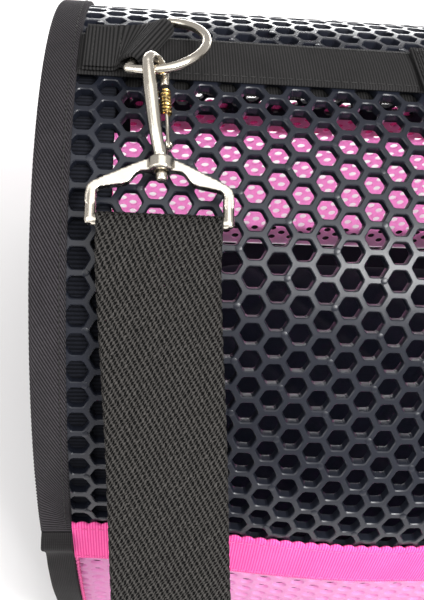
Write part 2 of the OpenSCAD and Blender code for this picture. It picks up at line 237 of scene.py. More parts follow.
STITCH_SPOTS = np.array([0.12, 0.3, 0.5, 0.7, 0.88])
STITCH_PROFILE = np.array([0.45, 0.95, 1.0, 0.95, 0.45])


def stitch_rows(name, rows, pitch, material, slot="black_webbing", body="bag", radius=0.28):
    """Lockstitch threads along rows, each a smooth list of points that lies on the cloth."""
    paths = []
    for row in rows:
        row = np.asarray(row, float)
        reach = distances(row)
        count = max(1, round(reach[-1] / pitch))
        for k in range(count):
            paths.append(follow(row, reach, (k + STITCH_SPOTS) * reach[-1] / count))
    stand_in(tubes(name, paths, radius * STITCH_PROFILE, 6, material, body), slot)


def tape_section(width, thickness, across, below=3):
    """Loop round a tape's section as (across, lift): over the top from edge to edge, then back."""
    inner = width / 2 - thickness * 0.4
    upper = np.column_stack([np.linspace(-inner, inner, across), np.full(across, thickness)])
    lower = np.column_stack([np.linspace(inner, -inner, below), np.zeros(below)])
    edge = [[width / 2, thickness / 2]]
    return np.vstack([-np.array(edge) * [1, -1], upper, edge, lower])


def smooth_path(points, steps):
    """Catmull-Rom curve through points, with a number of steps between each pair."""
    p = np.asarray(points, float)
    p = np.vstack([p[:1], p, p[-1:]])
    t = np.linspace(0, 1, steps, endpoint=False)[:, None]
    parts = []
    for a, b, c, d in zip(p, p[1:], p[2:], p[3:]):
        cubic = (3 * b - a - 3 * c + d) * t**3
        parts.append(0.5 * (2 * b + (c - a) * t + (2 * a - 5 * b + 4 * c - d) * t**2 + cubic))
    return np.vstack(parts + [p[-1:]])


def unit(v):
    """Vectors brought to length 1."""
    return v / np.linalg.norm(v, axis=-1, keepdims=True)


def tube_rings(path, radius, sides):
    """Round rings along a path, carried along without twist."""
    path = np.asarray(path, float)
    ahead = unit(np.gradient(path, axis=0))
    side = np.cross(ahead[0], [0.3, 0.2, 0.93])
    angles = np.linspace(0, TAU, sides, endpoint=False)
    radii = np.broadcast_to(radius, len(path))
    rings = []
    for point, forward, reach in zip(path, ahead, radii):
        side = unit(side - forward * (side @ forward))
        up = np.cross(forward, side)
        circle = np.outer(np.cos(angles), side) + np.outer(np.sin(angles), up)
        rings.append(point + reach * circle)
    return np.array(rings)


def tubes(name, paths, radius, sides, material, body="bag"):
    """Several round rods or threads as one piece."""
    parts = [solid(tube_rings(path, radius, sides)) for path in paths]
    return new_piece(name, *combined(parts), material, body, 60)


def stand_in(piece, slot, *nodes):
    """Hides the frame's nodes that a piece stands for; its slot argument is not used."""
    if nodes:
        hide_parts(*nodes)
    return piece


def sewn(name, bands, coords, material, node):
    """Bands of plain cloth as one piece that carries its threads' own coordinates."""
    piece = new_piece(name, *combined(bands), material)
    set_cloth(piece, np.vstack([flat.reshape(-1, 2) for flat in coords]))
    stand_in(piece, "black_cloth", node)


def applied(piece):
    """Replaces a piece's mesh by what its modifiers make of it."""
    graph = bpy.context.evaluated_depsgraph_get()
    mesh = bpy.data.meshes.new_from_object(piece.evaluated_get(graph))
    piece.modifiers.clear()
    piece.data = mesh
    mesh.polygons.foreach_set("use_smooth", [True] * len(mesh.polygons))
    return piece


# Materials


class Nodes:
    """A principled material, and short names for making its nodes."""

    def __init__(self, name, colour, roughness, metallic=0.0, **sockets):
        self.material = bpy.data.materials.new(name)
        self.material.use_nodes = True
        self.tree = self.material.node_tree
        self.shader = self.tree.nodes["Principled BSDF"]
        self.shader.inputs["Base Color"].default_value = (*colour, 1)
        self.shader.inputs["Roughness"].default_value = roughness
        self.shader.inputs["Metallic"].default_value = metallic
        for socket, value in sockets.items():
            self.shader.inputs[socket.replace("_", " ")].default_value = value

    def add(self, kind, **settings):
        """A new node with some of its settings."""
        node = self.tree.nodes.new(kind)
        for key, value in settings.items():
            setattr(node, key, value)
        return node

    def link(self, out, socket):
        self.tree.links.new(out, socket)

    def math(self, operation, a, b=0.0):
        """Sum of numbers or node outputs, by the name of its operation."""
        node = self.add("ShaderNodeMath", operation=operation)
        for socket, value in zip(node.inputs, (a, b)):
            if isinstance(value, (int, float)):
                socket.default_value = value
            else:
                self.link(value, socket)
        return node.outputs[0]

    def plus(self, a, b):
        return self.math("ADD", a, b)

    def times(self, a, b):
        return self.math("MULTIPLY", a, b)

    def noise(self, scale, detail=3.0, stretch=(1, 1, 1)):
        """Noise over the piece's own coordinates, in metres."""
        place = self.add("ShaderNodeTexCoord").outputs["Object"]
        turn = self.add("ShaderNodeMapping")
        turn.inputs["Scale"].default_value = stretch
        self.link(place, turn.inputs["Vector"])
        node = self.add("ShaderNodeTexNoise")
        node.inputs["Scale"].default_value = scale
        node.inputs["Detail"].default_value = detail
        self.link(turn.outputs[0], node.inputs["Vector"])
        return node.outputs[0]

    def attribute(self, name):
        return self.add("ShaderNodeAttribute", attribute_name=name)

    def cloth(self):
        """The cloth's two coordinates, in millimetres."""
        parts = self.add("ShaderNodeSeparateXYZ")
        self.link(self.attribute("cloth").outputs["Vector"], parts.inputs[0])
        return parts.outputs[0], parts.outputs[1]

    def ridge(self, coordinate, pitch):
        """A smooth row of ridges from 0 to 1 along a coordinate."""
        wave = self.math("COSINE", self.times(coordinate, TAU / pitch))
        return self.times(self.plus(wave, 1.0), 0.5)

    def blend_colour(self, share, low, high):
        """Base colour between two, as a share goes from 0 to 1."""
        node = self.add("ShaderNodeMix", data_type="RGBA")
        node.inputs["A"].default_value = (*low, 1)
        node.inputs["B"].default_value = (*high, 1)
        self.link(share, node.inputs["Factor"])
        self.link(node.outputs["Result"], self.shader.inputs["Base Color"])
        return node.outputs["Result"]

    def spread(self, value, low, high, socket):
        """Maps 0 to 1 onto low to high and drives a socket of the shader."""
        node = self.add("ShaderNodeMapRange")
        node.inputs["To Min"].default_value = low
        node.inputs["To Max"].default_value = high
        self.link(value, node.inputs["Value"])
        self.link(node.outputs[0], self.shader.inputs[socket])

    def bump(self, height, depth_mm, strength=1.0):
        """Fine relief from a height between 0 and 1."""
        node = self.add("ShaderNodeBump")
        node.inputs["Strength"].default_value = strength
        node.inputs["Distance"].default_value = depth_mm * MM
        self.link(height, node.inputs["Height"])
        self.link(node.outputs[0], self.shader.inputs["Normal"])


CLOTH_GLOSS = 0.06


def moulded_plastic():
    """Cloudy, slightly glossy plastic of the honeycomb sheets."""
    n = Nodes("honeycomb_plastic", (0.008, 0.009, 0.014), 0.3, Specular_IOR_Level=0.38)
    cloudy = n.noise(28, 4)
    n.blend_colour(cloudy, (0.006, 0.007, 0.011), (0.013, 0.015, 0.023))
    n.spread(cloudy, 0.2, 0.4, "Roughness")
    n.bump(n.noise(900, 2), 0.03, 0.4)
    return n.material


def woven(name, gap, crest, roughness, depth=0.06, sheen=0.03):
    """Cloth whose relief is in its mesh, with painted shade between the yarns and painted light on their
    tops, varied in random patches.
    """
    n = Nodes(name, crest, roughness, Sheen_Weight=sheen, Specular_IOR_Level=CLOTH_GLOSS)
    fibre = n.noise(2600, 2)
    # Painted shade in the low places of the weave and painted light on its crests, times random patches
    # of tone.
    relief = n.math("POWER", n.attribute("relief").outputs["Fac"], 2.5)
    patches = n.plus(n.times(n.noise(60, 4), n.noise(1300, 3)), 0.35)
    painted_crest_light_and_tone = n.times(relief, n.times(patches, 1.7))
    n.blend_colour(painted_crest_light_and_tone, gap, crest)
    n.bump(n.plus(fibre, n.noise(350, 3)), depth, 0.6)
    return n.material


def strap_twill():
    """Coarse twill: slanting ribs broken into short floats, with painted shade in the pits between them
    and painted light on their crowns.
    """
    n = Nodes("strap_twill", (0.045, 0.042, 0.039), 0.7, Specular_IOR_Level=CLOTH_GLOSS)
    along, walk = n.cloth()
    wander = n.times(n.math("SUBTRACT", n.noise(700, 3), 0.5), 0.7)
    cross = n.plus(n.plus(walk, n.times(along, 0.3)), wander)
    yarn = n.ridge(cross, 0.42)
    valley = n.math("SUBTRACT", 1.0, n.math("POWER", n.attribute("relief").outputs["Fac"], 2.0))
    pit = n.times(n.times(valley, n.math("SUBTRACT", 1.0, yarn)), 2.2)
    crown = n.plus(n.times(yarn, 0.4), 0.6)
    weave = n.math("MAXIMUM", n.math("SUBTRACT", crown, pit), 0.0)
    # The colour carries painted shade in the pits and painted light on the yarns' crowns, varied at
    # random.
    lit = n.times(weave, n.plus(n.times(n.noise(1500, 4), 1.3), 0.2))
    n.blend_colour(lit, (0.002, 0.002, 0.002), (0.066, 0.062, 0.058))
    n.bump(n.plus(weave, n.times(n.noise(3800, 2), 0.25)), 0.4)
    return n.material


def plain_cloth(name, dark, light, thread_pitch, roughness=0.85):
    """Plain weave seen on cloth that carries its own coordinates, with painted light on the threads'
    tops and painted shade between them.
    """
    n = Nodes(name, light, roughness, Sheen_Weight=0.04, Specular_IOR_Level=CLOTH_GLOSS)
    across, along = n.cloth()
    weave = n.times(n.ridge(across, thread_pitch), n.ridge(along, thread_pitch))
    # Painted light where the threads rise and painted shade between them, varied at random.
    n.blend_colour(n.times(n.plus(weave, 0.35), n.noise(90, 4)), dark, light)
    n.bump(weave, 0.12, 0.7)
    return n.material


def soft_cloth(name, dark, light, roughness=0.9, grain=1500):
    """Cloth without a visible weave direction, such as brushed or knitted cloth."""
    n = Nodes(name, light, roughness, Sheen_Weight=0.05, Specular_IOR_Level=CLOTH_GLOSS)
    n.blend_colour(n.times(n.noise(grain, 3), n.plus(n.noise(45, 3), 0.5)), dark, light)
    n.bump(n.noise(grain, 3), 0.18, 0.8)
    return n.material


def glowing_mesh(name, dark, light):
    """Thin pink net that lets light through from behind."""
    n = Nodes(name, light, 0.7, Sheen_Weight=0.2)
    tint = n.blend_colour(n.noise(500, 3), dark, light)
    glow = n.add("ShaderNodeBsdfTranslucent")
    n.link(tint, glow.inputs["Color"])
    mix = n.add("ShaderNodeMixShader")
    mix.inputs["Fac"].default_value = 0.66
    n.link(n.shader.outputs[0], mix.inputs[1])
    n.link(glow.outputs[0], mix.inputs[2])
    n.link(mix.outputs[0], n.tree.nodes["Material Output"].inputs["Surface"])
    n.bump(n.noise(2200, 2), 0.1, 0.5)
    return n.material


def metal(name, dark, light, roughness, depth=0.02):
    """Cast or drawn metal with hazy patches."""
    n = Nodes(name, light, roughness, metallic=1.0)
    hazy = n.noise(120, 4)
    n.blend_colour(hazy, dark, light)
    n.spread(hazy, roughness * 0.7, roughness * 1.6, "Roughness")
    n.bump(n.noise(700, 3), depth, 0.5)
    return n.material


def moulded(name, dark, light, roughness):
    """Fine-grained plastic."""
    n = Nodes(name, light, roughness)
    n.blend_colour(n.noise(40, 3), dark, light)
    n.spread(n.noise(60, 3), roughness * 0.8, roughness * 1.3, "Roughness")
    n.bump(n.noise(800, 2), 0.04, 0.5)
    return n.material


HONEYCOMB = moulded_plastic()
TWILL = strap_twill()
WEBBING = woven("ridge_grosgrain", (0.005, 0.005, 0.005), (0.028, 0.027, 0.027), 0.85)
BINDING = woven("binding_herringbone", (0.001, 0.001, 0.001), (0.045, 0.041, 0.045), 0.8)
PINK_TAPE = woven("pink_grosgrain", (0.8, 0.05, 0.27), (1.0, 0.16, 0.46), 0.65)
SEAM_TAPE = woven("seam_grosgrain", (0.0015, 0.0017, 0.0023), (0.012, 0.013, 0.018), 0.85)
TRIM_CLOTH = plain_cloth("trim_cloth", (0.006, 0.006, 0.006), (0.04, 0.037, 0.038), 0.7)
BLACK_CLOTH = plain_cloth("black_cloth", (0.006, 0.006, 0.006), (0.036, 0.035, 0.037), 0.8)
AIR_MESH = soft_cloth("air_mesh", (0.004, 0.004, 0.006), (0.03, 0.031, 0.036))
PAD_CLOTH = soft_cloth("pad_plush", (0.001, 0.001, 0.003), (0.006, 0.008, 0.016), grain=900)
GRIP_CLOTH = soft_cloth("grip_neoprene", (0.01, 0.01, 0.011), (0.05, 0.05, 0.052), grain=1800)
PINK_NET = glowing_mesh("pink_net", (1.0, 0.42, 0.75), (1.0, 0.68, 0.93))
NICKEL = metal("nickel", (0.55, 0.5, 0.42), (0.78, 0.73, 0.64), 0.2)
BRASS = metal("spring_brass", (0.62, 0.42, 0.14), (0.86, 0.66, 0.3), 0.2)
STEEL = metal("hoop_steel", (0.35, 0.35, 0.36), (0.6, 0.6, 0.62), 0.3)
ZIP_PLASTIC = moulded("zip_plastic", (0.012, 0.012, 0.013), (0.03, 0.03, 0.032), 0.42)
BOARD = soft_cloth("board_cover", (0.001, 0.001, 0.002), (0.006, 0.007, 0.012), roughness=1.0)
BLACK_THREAD = soft_cloth("black_thread", (0.006, 0.006, 0.006), (0.045, 0.044, 0.043), 0.7)
PINK_THREAD = soft_cloth("pink_thread", (0.6, 0.04, 0.2), (1.0, 0.22, 0.5), 0.6)


# Sheets with holes


def hexagon(flats, cut=0.5):
    """Twelve points of a hexagon that points along x, with its corners cut off."""
    corner = flats / math.sqrt(3)
    turns = np.radians(np.arange(6) * 60)
    tips = corner * np.column_stack([np.cos(turns), np.sin(turns)])
    share = cut / corner
    before = tips + (np.roll(tips, 1, 0) - tips) * share
    after = tips + (np.roll(tips, -1, 0) - tips) * share
    return np.stack([before, after], 1).reshape(-1, 2)


def oval(wide, high, count=12):
    """An oval outline whose points face a cell's six corners, one or two to each."""
    turns = np.radians((np.arange(count) + (0.0 if count == 6 else -0.5)) * 360 / count)
    return 0.5 * np.column_stack([wide * np.cos(turns), high * np.sin(turns)])


def lattice(x_range, s_range, pitch, first, is_open):
    """Staggered cells as (x, s, is open), their middles at most a pitch outside the range."""
    cells = []
    low = math.floor((x_range[0] - first[0]) / pitch[0]) - 1
    high = math.ceil((x_range[1] - first[0]) / pitch[0]) + 1
    for column in range(low, high + 1):
        x = first[0] + column * pitch[0]
        shift = first[1] + (column % 2) * pitch[1] / 2
        bottom = math.floor((s_range[0] - shift) / pitch[1]) - 1
        top = math.ceil((s_range[1] - shift) / pitch[1]) + 1
        for row in range(bottom, top + 1):
            s = shift + row * pitch[1]
            if abs(x - np.clip(x, *x_range)) < pitch[0] and abs(s - np.clip(s, *s_range)) < pitch[1]:
                cells.append((x, s, is_open(x, s)))
    return cells


def perforated(cells, pitch, rings, clamp):
    """Flat sheet of cells as (points, faces); a point is (x, s, depth). Rings are (outline, depth)."""
    third, half = pitch[0] / 3, pitch[1] / 2
    corners = [(2, 0), (1, 1), (-1, 1), (-2, 0), (-1, -1), (1, -1)]
    offsets = np.array([(i * third, j * half) for i, j in corners])
    thickness = rings[-1][1]
    per_corner = len(rings[0][0]) // 6
    points, faces, known, rim = [], [], {}, {}

    def corner(place, depth):
        key = (round(place[0], 4), round(place[1], 4), depth)
        if key not in known:
            known[key] = len(points)
            points.append((place[0], place[1], depth))
        return known[key]

    for x, s, is_open in cells:
        around = [clamp(x + i, s + j) for i, j in offsets]
        top = [corner(p, 0.0) for p in around]
        under = [corner(p, thickness) for p in around]
        if len(set(top)) < 3:
            continue
        for i in range(6):
            j = (i + 1) % 6
            if top[i] != top[j]:
                edge = frozenset((top[i], top[j]))
                rim[edge] = None if edge in rim else (top[i], top[j], under[j], under[i])
        if not is_open:
            once = [p for i, p in enumerate(top) if p not in top[:i]]
            below = [p for i, p in enumerate(under) if p not in under[:i]]
            faces += [once, below[::-1]]
            continue
        loops = []
        for outline, depth in rings:
            loops.append(range(len(points), len(points) + len(outline)))
            points += [(x + i, s + j, depth) for i, j in outline]
        count = 6 * per_corner
        for outer, loop in ((top, loops[0]), (under, loops[-1])):
            for i in range(6):
                j = (i + 1) % 6
                last = loop[i * per_corner + per_corner - 1]
                faces.append([outer[i], outer[j], loop[j * per_corner], last])
                if per_corner == 2:
                    faces.append([outer[i], last, loop[i * 2]])
        for upper, lower in zip(loops, loops[1:]):
            for i in range(count):
                j = (i + 1) % count
                faces.append([upper[i], upper[j], lower[j], lower[i]])
    faces += [list(quad) for quad in rim.values() if quad]
    return np.array(points), faces


HEX_PITCH = (7.924, 9.15)
HEX_FIRST = (-182.316, 75.115)
HEX_FLATS = 7.0
BACK_ROW_OFFSET = 3.2
HEX_RANGE = (0.0, SHEET_S)
HEX_MARGIN = HEX_PITCH[1] * 0.42
MARK_COLUMNS = range(0, 48, 2)
MARK_ROWS = range(-8, 13)
NET_PITCH = (6.58, 7.6)
NET_FIRST = (-184.0, 190.0)
NET_RANGE = (SHEET_S, GROUND_S)
NET_MARGIN = 3.2


def within(x, s, s_range, margin):
    """Whether a place is more than a margin inside a sheet's edges."""
    return abs(x) < PANEL_INNER - margin and s_range[0] + margin < s < s_range[1] - margin


def cut_sheet(s_range, margin, pitch, first, rings):
    """Flat perforated sheet that fills the length between the ends, with a solid margin."""

    def is_open(x, s):
        return within(x, s, s_range, margin)

    def clamp(x, s):
        return min(max(x, -PANEL_INNER), PANEL_INNER), min(max(s, s_range[0]), s_range[1])

    cells = lattice((-PANEL_INNER, PANEL_INNER), s_range, pitch, first, is_open)
    return perforated(cells, pitch, rings, clamp)


def mould_mark(x, s, sides=12):
    """Low round gate mark on the sheet, as points and faces."""
    turns = np.linspace(0, TAU, sides, endpoint=False)
    rings = [(1.15, -0.1), (1.15, 0.12), (0.95, 0.2)]
    points = [shell(x + r * np.cos(turns), s + r * np.sin(turns), out) for r, out in rings]
    return np.vstack(points), loft_faces(3, sides)


def honeycomb(name, side, phase):
    """One side of the arch in moulded honeycomb sheet with drafted, bevelled holes."""
    first = (HEX_FIRST[0], (HEX_FIRST[1] + phase) % HEX_PITCH[1])
    rings = [
        (hexagon(HEX_FLATS + 0.7), 0.0),
        (hexagon(HEX_FLATS + 0.1), 0.32),
        (hexagon(HEX_FLATS - 0.5), 2.2),
        (hexagon(HEX_FLATS - 0.2), SHEET_THICKNESS),
    ]
    flat, faces = cut_sheet(HEX_RANGE, HEX_MARGIN, HEX_PITCH, first, rings)
    parts = [(shell(flat[:, 0], side * flat[:, 1], -flat[:, 2]), faces)]
    for column in MARK_COLUMNS:
        for row in MARK_ROWS:
            x = HEX_FIRST[0] + (column + 1 / 3) * HEX_PITCH[0]
            s = HEX_FIRST[1] + HEX_PITCH[1] * (row + 0.5)
            if (column // 2 + row) % 2 == 0 and within(x, s, HEX_RANGE, HEX_MARGIN):
                parts.append(mould_mark(x, side * s))
    piece = new_piece(f"moulded_{name}", *combined(parts), HONEYCOMB, smooth_angle=28)
    stand_in(piece, "honeycomb_sheet", name)


def mesh_wall(name, side):
    """Soft knitted net below the joining tape, with oval holes."""
    rings = [(oval(5.5, 4.6), 0.1), (oval(5.0, 4.1), 0.7), (oval(5.3, 4.4), 1.6)]
    flat, faces = cut_sheet(NET_RANGE, NET_MARGIN, NET_PITCH, NET_FIRST, rings)
    points = shell(flat[:, 0], side * flat[:, 1], -flat[:, 2])
    stand_in(new_piece(f"net_{name}", points, faces, PINK_NET), "pink_mesh", name)


honeycomb("honeycomb_front", 1, 0.0)
honeycomb("honeycomb_back", -1, BACK_ROW_OFFSET)
mesh_wall("mesh_wall_front", 1)
mesh_wall("mesh_wall_back", -1)


# Tapes and bindings along the shell

TAPE_WIDTH = 25.0
TAPE_THICKNESS = 1.2
BINDING_THICKNESS = 1.5
BINDING_RIB = 1.7
BINDING_SLANT = 1.7
SEAM_TAPE_WIDTH = 20.0
LINING_HALF = 172.0
HEM_WIDTH = 14.0
PICOT_PITCH = 4.6
EDGING_PITCH = 3.2
RIB = 1.0
BINDING_END_S = FLANK_S + 6
RIDGE_FRONT = 11.0
RIDGE_BACK = -12.4


def flat_section(width, thickness, across):
    """A tape's section loop and which of its points carry the ribs."""
    section = tape_section(width, thickness, across)
    return section, (section[:, 1] > 0.45 * thickness).astype(float)


def tape_along_ridge(
    name, x_end, middle, width, thickness, base, material, face=1, side=1, picot=0.0, depth=0.28
):
    """A ribbed tape that runs along x on the shell's outside, or with face -1 on its inside."""
    section, raised = flat_section(width, thickness, 13)
    along = np.arange(-x_end, x_end + RIB / 8, RIB / 4)

    def place(x, across, lift):
        scallop = picot * np.abs(np.sin(math.pi * x / PICOT_PITCH)) * (across > 0.42 * width)
        return shell(x, middle - side * (across + scallop), base + face * lift)

    return woven_loft(name, along, section, raised, place, material, RIB, depth)


def joining_tape(name, side):
    """Pink tape between the honeycomb and the net, with a looped upper edge."""
    piece = tape_along_ridge(
        f"woven_{name}", BINDING_INNER, side * (FLANK_S + TAPE_WIDTH / 2), TAPE_WIDTH,
        TAPE_THICKNESS, 0.05, PINK_TAPE, side=side, picot=1.2, depth=0.14,
    )
    stand_in(piece, "pink_tape", name)
    xs = np.arange(-BINDING_INNER, BINDING_INNER, 2.0)
    rows = [shell(xs, side * s, TAPE_THICKNESS + 0.1) for s in (FLANK_S + 2.6, TAPE_S - 2.6)]
    stitch_rows(f"stitches_{name}", rows, 3.0, PINK_THREAD, "pink_tape", radius=0.22)


def ridge_tapes():
    """Webbing along the ridge, and a tape that lines the sheets' joint below it."""
    xs = np.arange(-BINDING_INNER, BINDING_INNER, 2.0)
    width = RIDGE_FRONT - RIDGE_BACK
    middle = (RIDGE_FRONT + RIDGE_BACK) / 2
    webbing = tape_along_ridge(
        "woven_ridge_webbing", BINDING_INNER - 0.1, middle, width, BINDING_THICKNESS, 0.02, WEBBING
    )
    stand_in(webbing, "black_webbing", "ridge_webbing")
    rows = [shell(xs, s, BINDING_THICKNESS + 0.08) for s in (RIDGE_FRONT - 2.2, RIDGE_BACK + 2.2)]
    stitch_rows("stitches_ridge", rows, 3.2, BLACK_THREAD, radius=0.22)
    lining = tape_along_ridge(
        "woven_ridge_lining", LINING_HALF, 0, TAPE_WIDTH, TAPE_THICKNESS,
        -SHEET_THICKNESS - 0.05, WEBBING, face=-1,
    )
    stand_in(lining, "black_webbing", "ridge_lining_tape")


def corner_section(out_top, out_low, top_points, face_points):
    """Loop of a band folded over an end of the shell, as (x, out), and which points carry ribs."""
    top = [(x, out_top) for x in np.linspace(BINDING_INNER + 0.4, END_X - 1.5, top_points)]
    corner = [(END_X - 0.8, out_top - 0.2), (END_X - 0.25, out_top - 0.7)]
    face = [(END_X, out) for out in np.linspace(out_top - 1.4, out_low + 0.5, face_points)]
    under = [
        (END_X - 0.5, out_low), (PANEL_OUTER + 0.2, out_low), (PANEL_OUTER + 0.05, out_low / 2),
        (PANEL_OUTER + 0.05, 0.05), (190.0, 0.05), (BINDING_INNER, 0.05),
    ]
    edge = [(BINDING_INNER, out_top - BINDING_THICKNESS * 0.45)]
    loop = np.array(edge + top + corner + face + under)
    raised = np.ones(len(loop))
    raised[-len(under) + 1:] = 0
    return loop, raised


def end_binding(name, side):
    """Herringbone binding whose ribs lean away from the corner on both of its faces."""
    loop, raised = corner_section(BINDING_THICKNESS, -11.0, 12, 11)
    before = np.roll(loop, 1, 0)
    walk = np.cumsum(np.linalg.norm(loop - before, axis=1))
    corner_walk = walk[np.argmax(loop[:, 0] + loop[:, 1])]
    along = np.arange(-BINDING_END_S, BINDING_END_S, BINDING_RIB / 5)
    lean = BINDING_SLANT * np.minimum(np.abs(walk - corner_walk), 12.0)

    def place(s, x, out):
        leaning = s + lean * smooth((BINDING_END_S - np.abs(s)) / 45)
        return shell(side * x, leaning, out)

    piece = woven_loft(f"woven_{name}", along, loop, raised, place, BINDING, BINDING_RIB, depth=0.42)
    stand_in(piece, "black_binding", name)
    spots = np.arange(2 - BINDING_END_S, BINDING_END_S - 2, 2.0)
    rows = [shell(side * (BINDING_INNER + 2.0), spots, BINDING_THICKNESS + 0.06)]
    stitch_rows(f"stitches_{name}", rows, 3.4, BLACK_THREAD, "black_binding", radius=0.24)


def corner_trim(name, side):
    """Smooth cloth that carries the binding on down to the ground, with a small fold at its top."""
    loop, _ = corner_section(1.0, -10.0, 6, 6)
    loop[:, 0] = np.minimum(loop[:, 0], END_X - 0.5)
    parts, coords = [], []
    for front in (1, -1):
        s = np.linspace(BINDING_END_S - 1.5, GROUND_S - 0.6, 90)[:, None]
        bump = np.exp(-(((s - BINDING_END_S - 7) / 5.0) ** 2))
        fold = 0.6 + 2.2 * bump - 0.7 * np.exp(-(((s - BINDING_END_S - 18) / 6) ** 2))
        ripple = 0.25 * np.sin(s / 7.0) * smooth((s - TAPE_S) / 20)
        outer = (loop[:, 1] > 0.4).astype(float)
        out = loop[:, 1] + (fold + ripple) * outer
        x = side * (loop[:, 0] + 0.35 * fold * (loop[:, 0] > END_X - 1))
        parts.append(solid(shell(x, front * s, out)))
        coords.append(grid(s, loop[:, 0] - loop[:, 1]))
    sewn(f"sewn_{name}", parts, coords, TRIM_CLOTH, name)


def trim_edging(name, side):
    """Narrow pink looped edge where the net meets the corner trim."""
    s = np.arange(TAPE_S, GROUND_S - 8, 0.5)
    loops = 0.7 * np.abs(np.sin(math.pi * s / EDGING_PITCH))
    paths = [shell(side * (BINDING_INNER - 0.4 - loops), front * s, 0.55) for front in (1, -1)]
    stand_in(tubes(name, paths, 0.55, 6, PINK_THREAD), "pink_tape")


def seam_tape(name, side):
    """Ribbed tape that covers the end seam inside the shell."""
    section, raised = flat_section(SEAM_TAPE_WIDTH, 1.0, 9)
    middle = PANEL_INNER - SEAM_TAPE_WIDTH / 2 - 0.2

    def place(s, across, lift):
        return shell(side * (middle + across), s, -SHEET_THICKNESS - 0.05 - lift)

    along = np.arange(-TAPE_S, TAPE_S, 0.35)
    piece = woven_loft(f"woven_{name}", along, section, raised, place, SEAM_TAPE, 1.4, depth=0.2)
    stand_in(piece, "black_binding", name)


def bottom_hem():
    """Folded cloth round the foot of the walls and of the two ends."""
    section = tape_section(HEM_WIDTH, 1.0, 7)
    upper = section[:, 1] > 0.3
    parts, coords = [], []
    x = np.linspace(-BINDING_INNER, BINDING_INNER, 90)[:, None]
    for front in (1, -1):
        sag = 0.35 * np.sin(x / 9.0) + 0.25 * np.sin(x / 3.7)
        s = GROUND_S - HEM_WIDTH / 2 - 0.2 - section[:, 0]
        parts.append(solid(shell(x, front * s, section[:, 1] + sag * upper)))
        coords.append(grid(x, section[:, 0]))
    y = np.linspace(-96, 96, 60)[:, None]
    for side in (1, -1):
        lift = section[:, 1] + 0.15 * np.sin(y / 5.0) * upper
        parts.append(solid(grid(side * (PANEL_OUTER + lift), y, 4.6 + section[:, 0] * 0.62)))
        coords.append(grid(y, section[:, 0]))
    sewn("sewn_bottom_hem", parts, coords, TRIM_CLOTH, "bottom_hem")


joining_tape("joining_tape_front", 1)
joining_tape("joining_tape_back", -1)
ridge_tapes()
bottom_hem()
for side, end in ENDS:
    end_binding(f"end_binding_{end}", side)
    corner_trim(f"corner_trim_{end}", side)
    trim_edging(f"looped_edging_{end}", side)
    seam_tape(f"seam_tape_{end}", side)


# Rings, hooks and the shoulder strap. The left side is drawn; the right side is its mirror image

HOOK_X = 157.3
HOOK_SLOPE = math.radians(21.5)
HOOK_STANDOFF = 6.3
BAR_DROP = 24.4
HEAD_REACH = 18.7
BOW_REACH = 52.1
HOOK_LEAN = math.radians(4.2)
HOOK_ROLL = math.radians(55)
YOKE = HEAD_REACH + 5.9
GATE_PIVOT = HEAD_REACH + 9.3
GATE_TIP = BOW_REACH - 4.3
NOSE_X = 5.4
BAR_RADIUS = 1.6


def turn(axis, angle):
    """A rotation matrix."""
    return np.array(Matrix.Rotation(angle, 3, axis))


def moved(matrix, shift):
    """A placement as a function on arrays of points."""
    return lambda points: np.asarray(points, float) @ matrix.T + np.asarray(shift, float)


SLOPE_OUT = np.array([-math.sin(HOOK_SLOPE), math.cos(HOOK_SLOPE)])
SLOPE_ALONG = np.array([math.cos(HOOK_SLOPE), math.sin(HOOK_SLOPE)])
BAR = CROWN_CENTRE + (CROWN_R + HOOK_STANDOFF) * SLOPE_OUT - BAR_DROP * SLOPE_ALONG
BAR_TURN = turn("X", HOOK_SLOPE)
at_bar = moved(BAR_TURN, (-HOOK_X, *BAR))
STEM_TURN = turn("Z", HOOK_LEAN) @ turn("Y", HOOK_ROLL)


def at_stem(points):
    """From the swivel hook's own drawing to the bag."""
    head = np.array([0, HEAD_REACH, 0])
    return at_bar((np.asarray(points, float) - head) @ STEM_TURN.T + head)


def flipped(points, side):
    """Leaves the left side's points alone, and mirrors them for the right side."""
    return points * [-side, 1, 1]


def lathe(profile, sides=28):
    """Points and faces of a turned part round y; profile rows are (distance along y, radius)."""
    turns = np.linspace(0, TAU, sides, endpoint=False)
    rings = [grid(r * np.cos(turns), y, r * np.sin(turns)) for y, r in profile]
    return solid(np.array(rings))


def turned_ring(y, height, inner, outer, sides=32):
    """Points and faces of a collar round y with a bore and rounded rims."""
    turns = np.linspace(0, TAU, sides, endpoint=False)
    high, edge = height / 2, 0.5
    half_loop = [(inner, -high), (outer - edge, -high), (outer, edge - high)]
    loop = np.array(half_loop + [(radius, -up) for radius, up in half_loop[::-1]])
    radius, up = loop.T
    across, toward_z = (radius * part(turns)[:, None] for part in (np.cos, np.sin))
    return solid(grid(across, y + up, toward_z), closed=True)


def rod(points, radii, steps=8, sides=16):
    """Points and faces of a bar along a smooth path, its radius changing from point to point."""
    path = smooth_path(points, steps)
    spots = np.linspace(0, len(points) - 1, len(path))
    radius = np.interp(spots, np.arange(len(points)), np.broadcast_to(radii, len(points)))
    return solid(tube_rings(path, radius, sides))


def plate(outline, depth, hand):
    """Points and faces of a flat cast wing, its outline smoothed, on one hand or the other."""
    rim = smooth_path(outline, 4) * [hand, 1]
    return solid(np.array([grid(*rim.T, z) for z in (-depth / 2, depth / 2)]))


def cast(name, parts, place, side, body, voxel=0.3):
    """Melts overlapping solids into one cast metal part."""
    points, faces = combined(parts)
    piece = new_piece(name, flipped(place(points), side), faces, NICKEL, body)
    remesh = piece.modifiers.new("remesh", "REMESH")
    remesh.mode = "VOXEL"
    remesh.voxel_size = voxel * MM
    soften = piece.modifiers.new("soften", "SMOOTH")
    soften.factor = 0.5
    soften.iterations = 3
    return applied(piece)


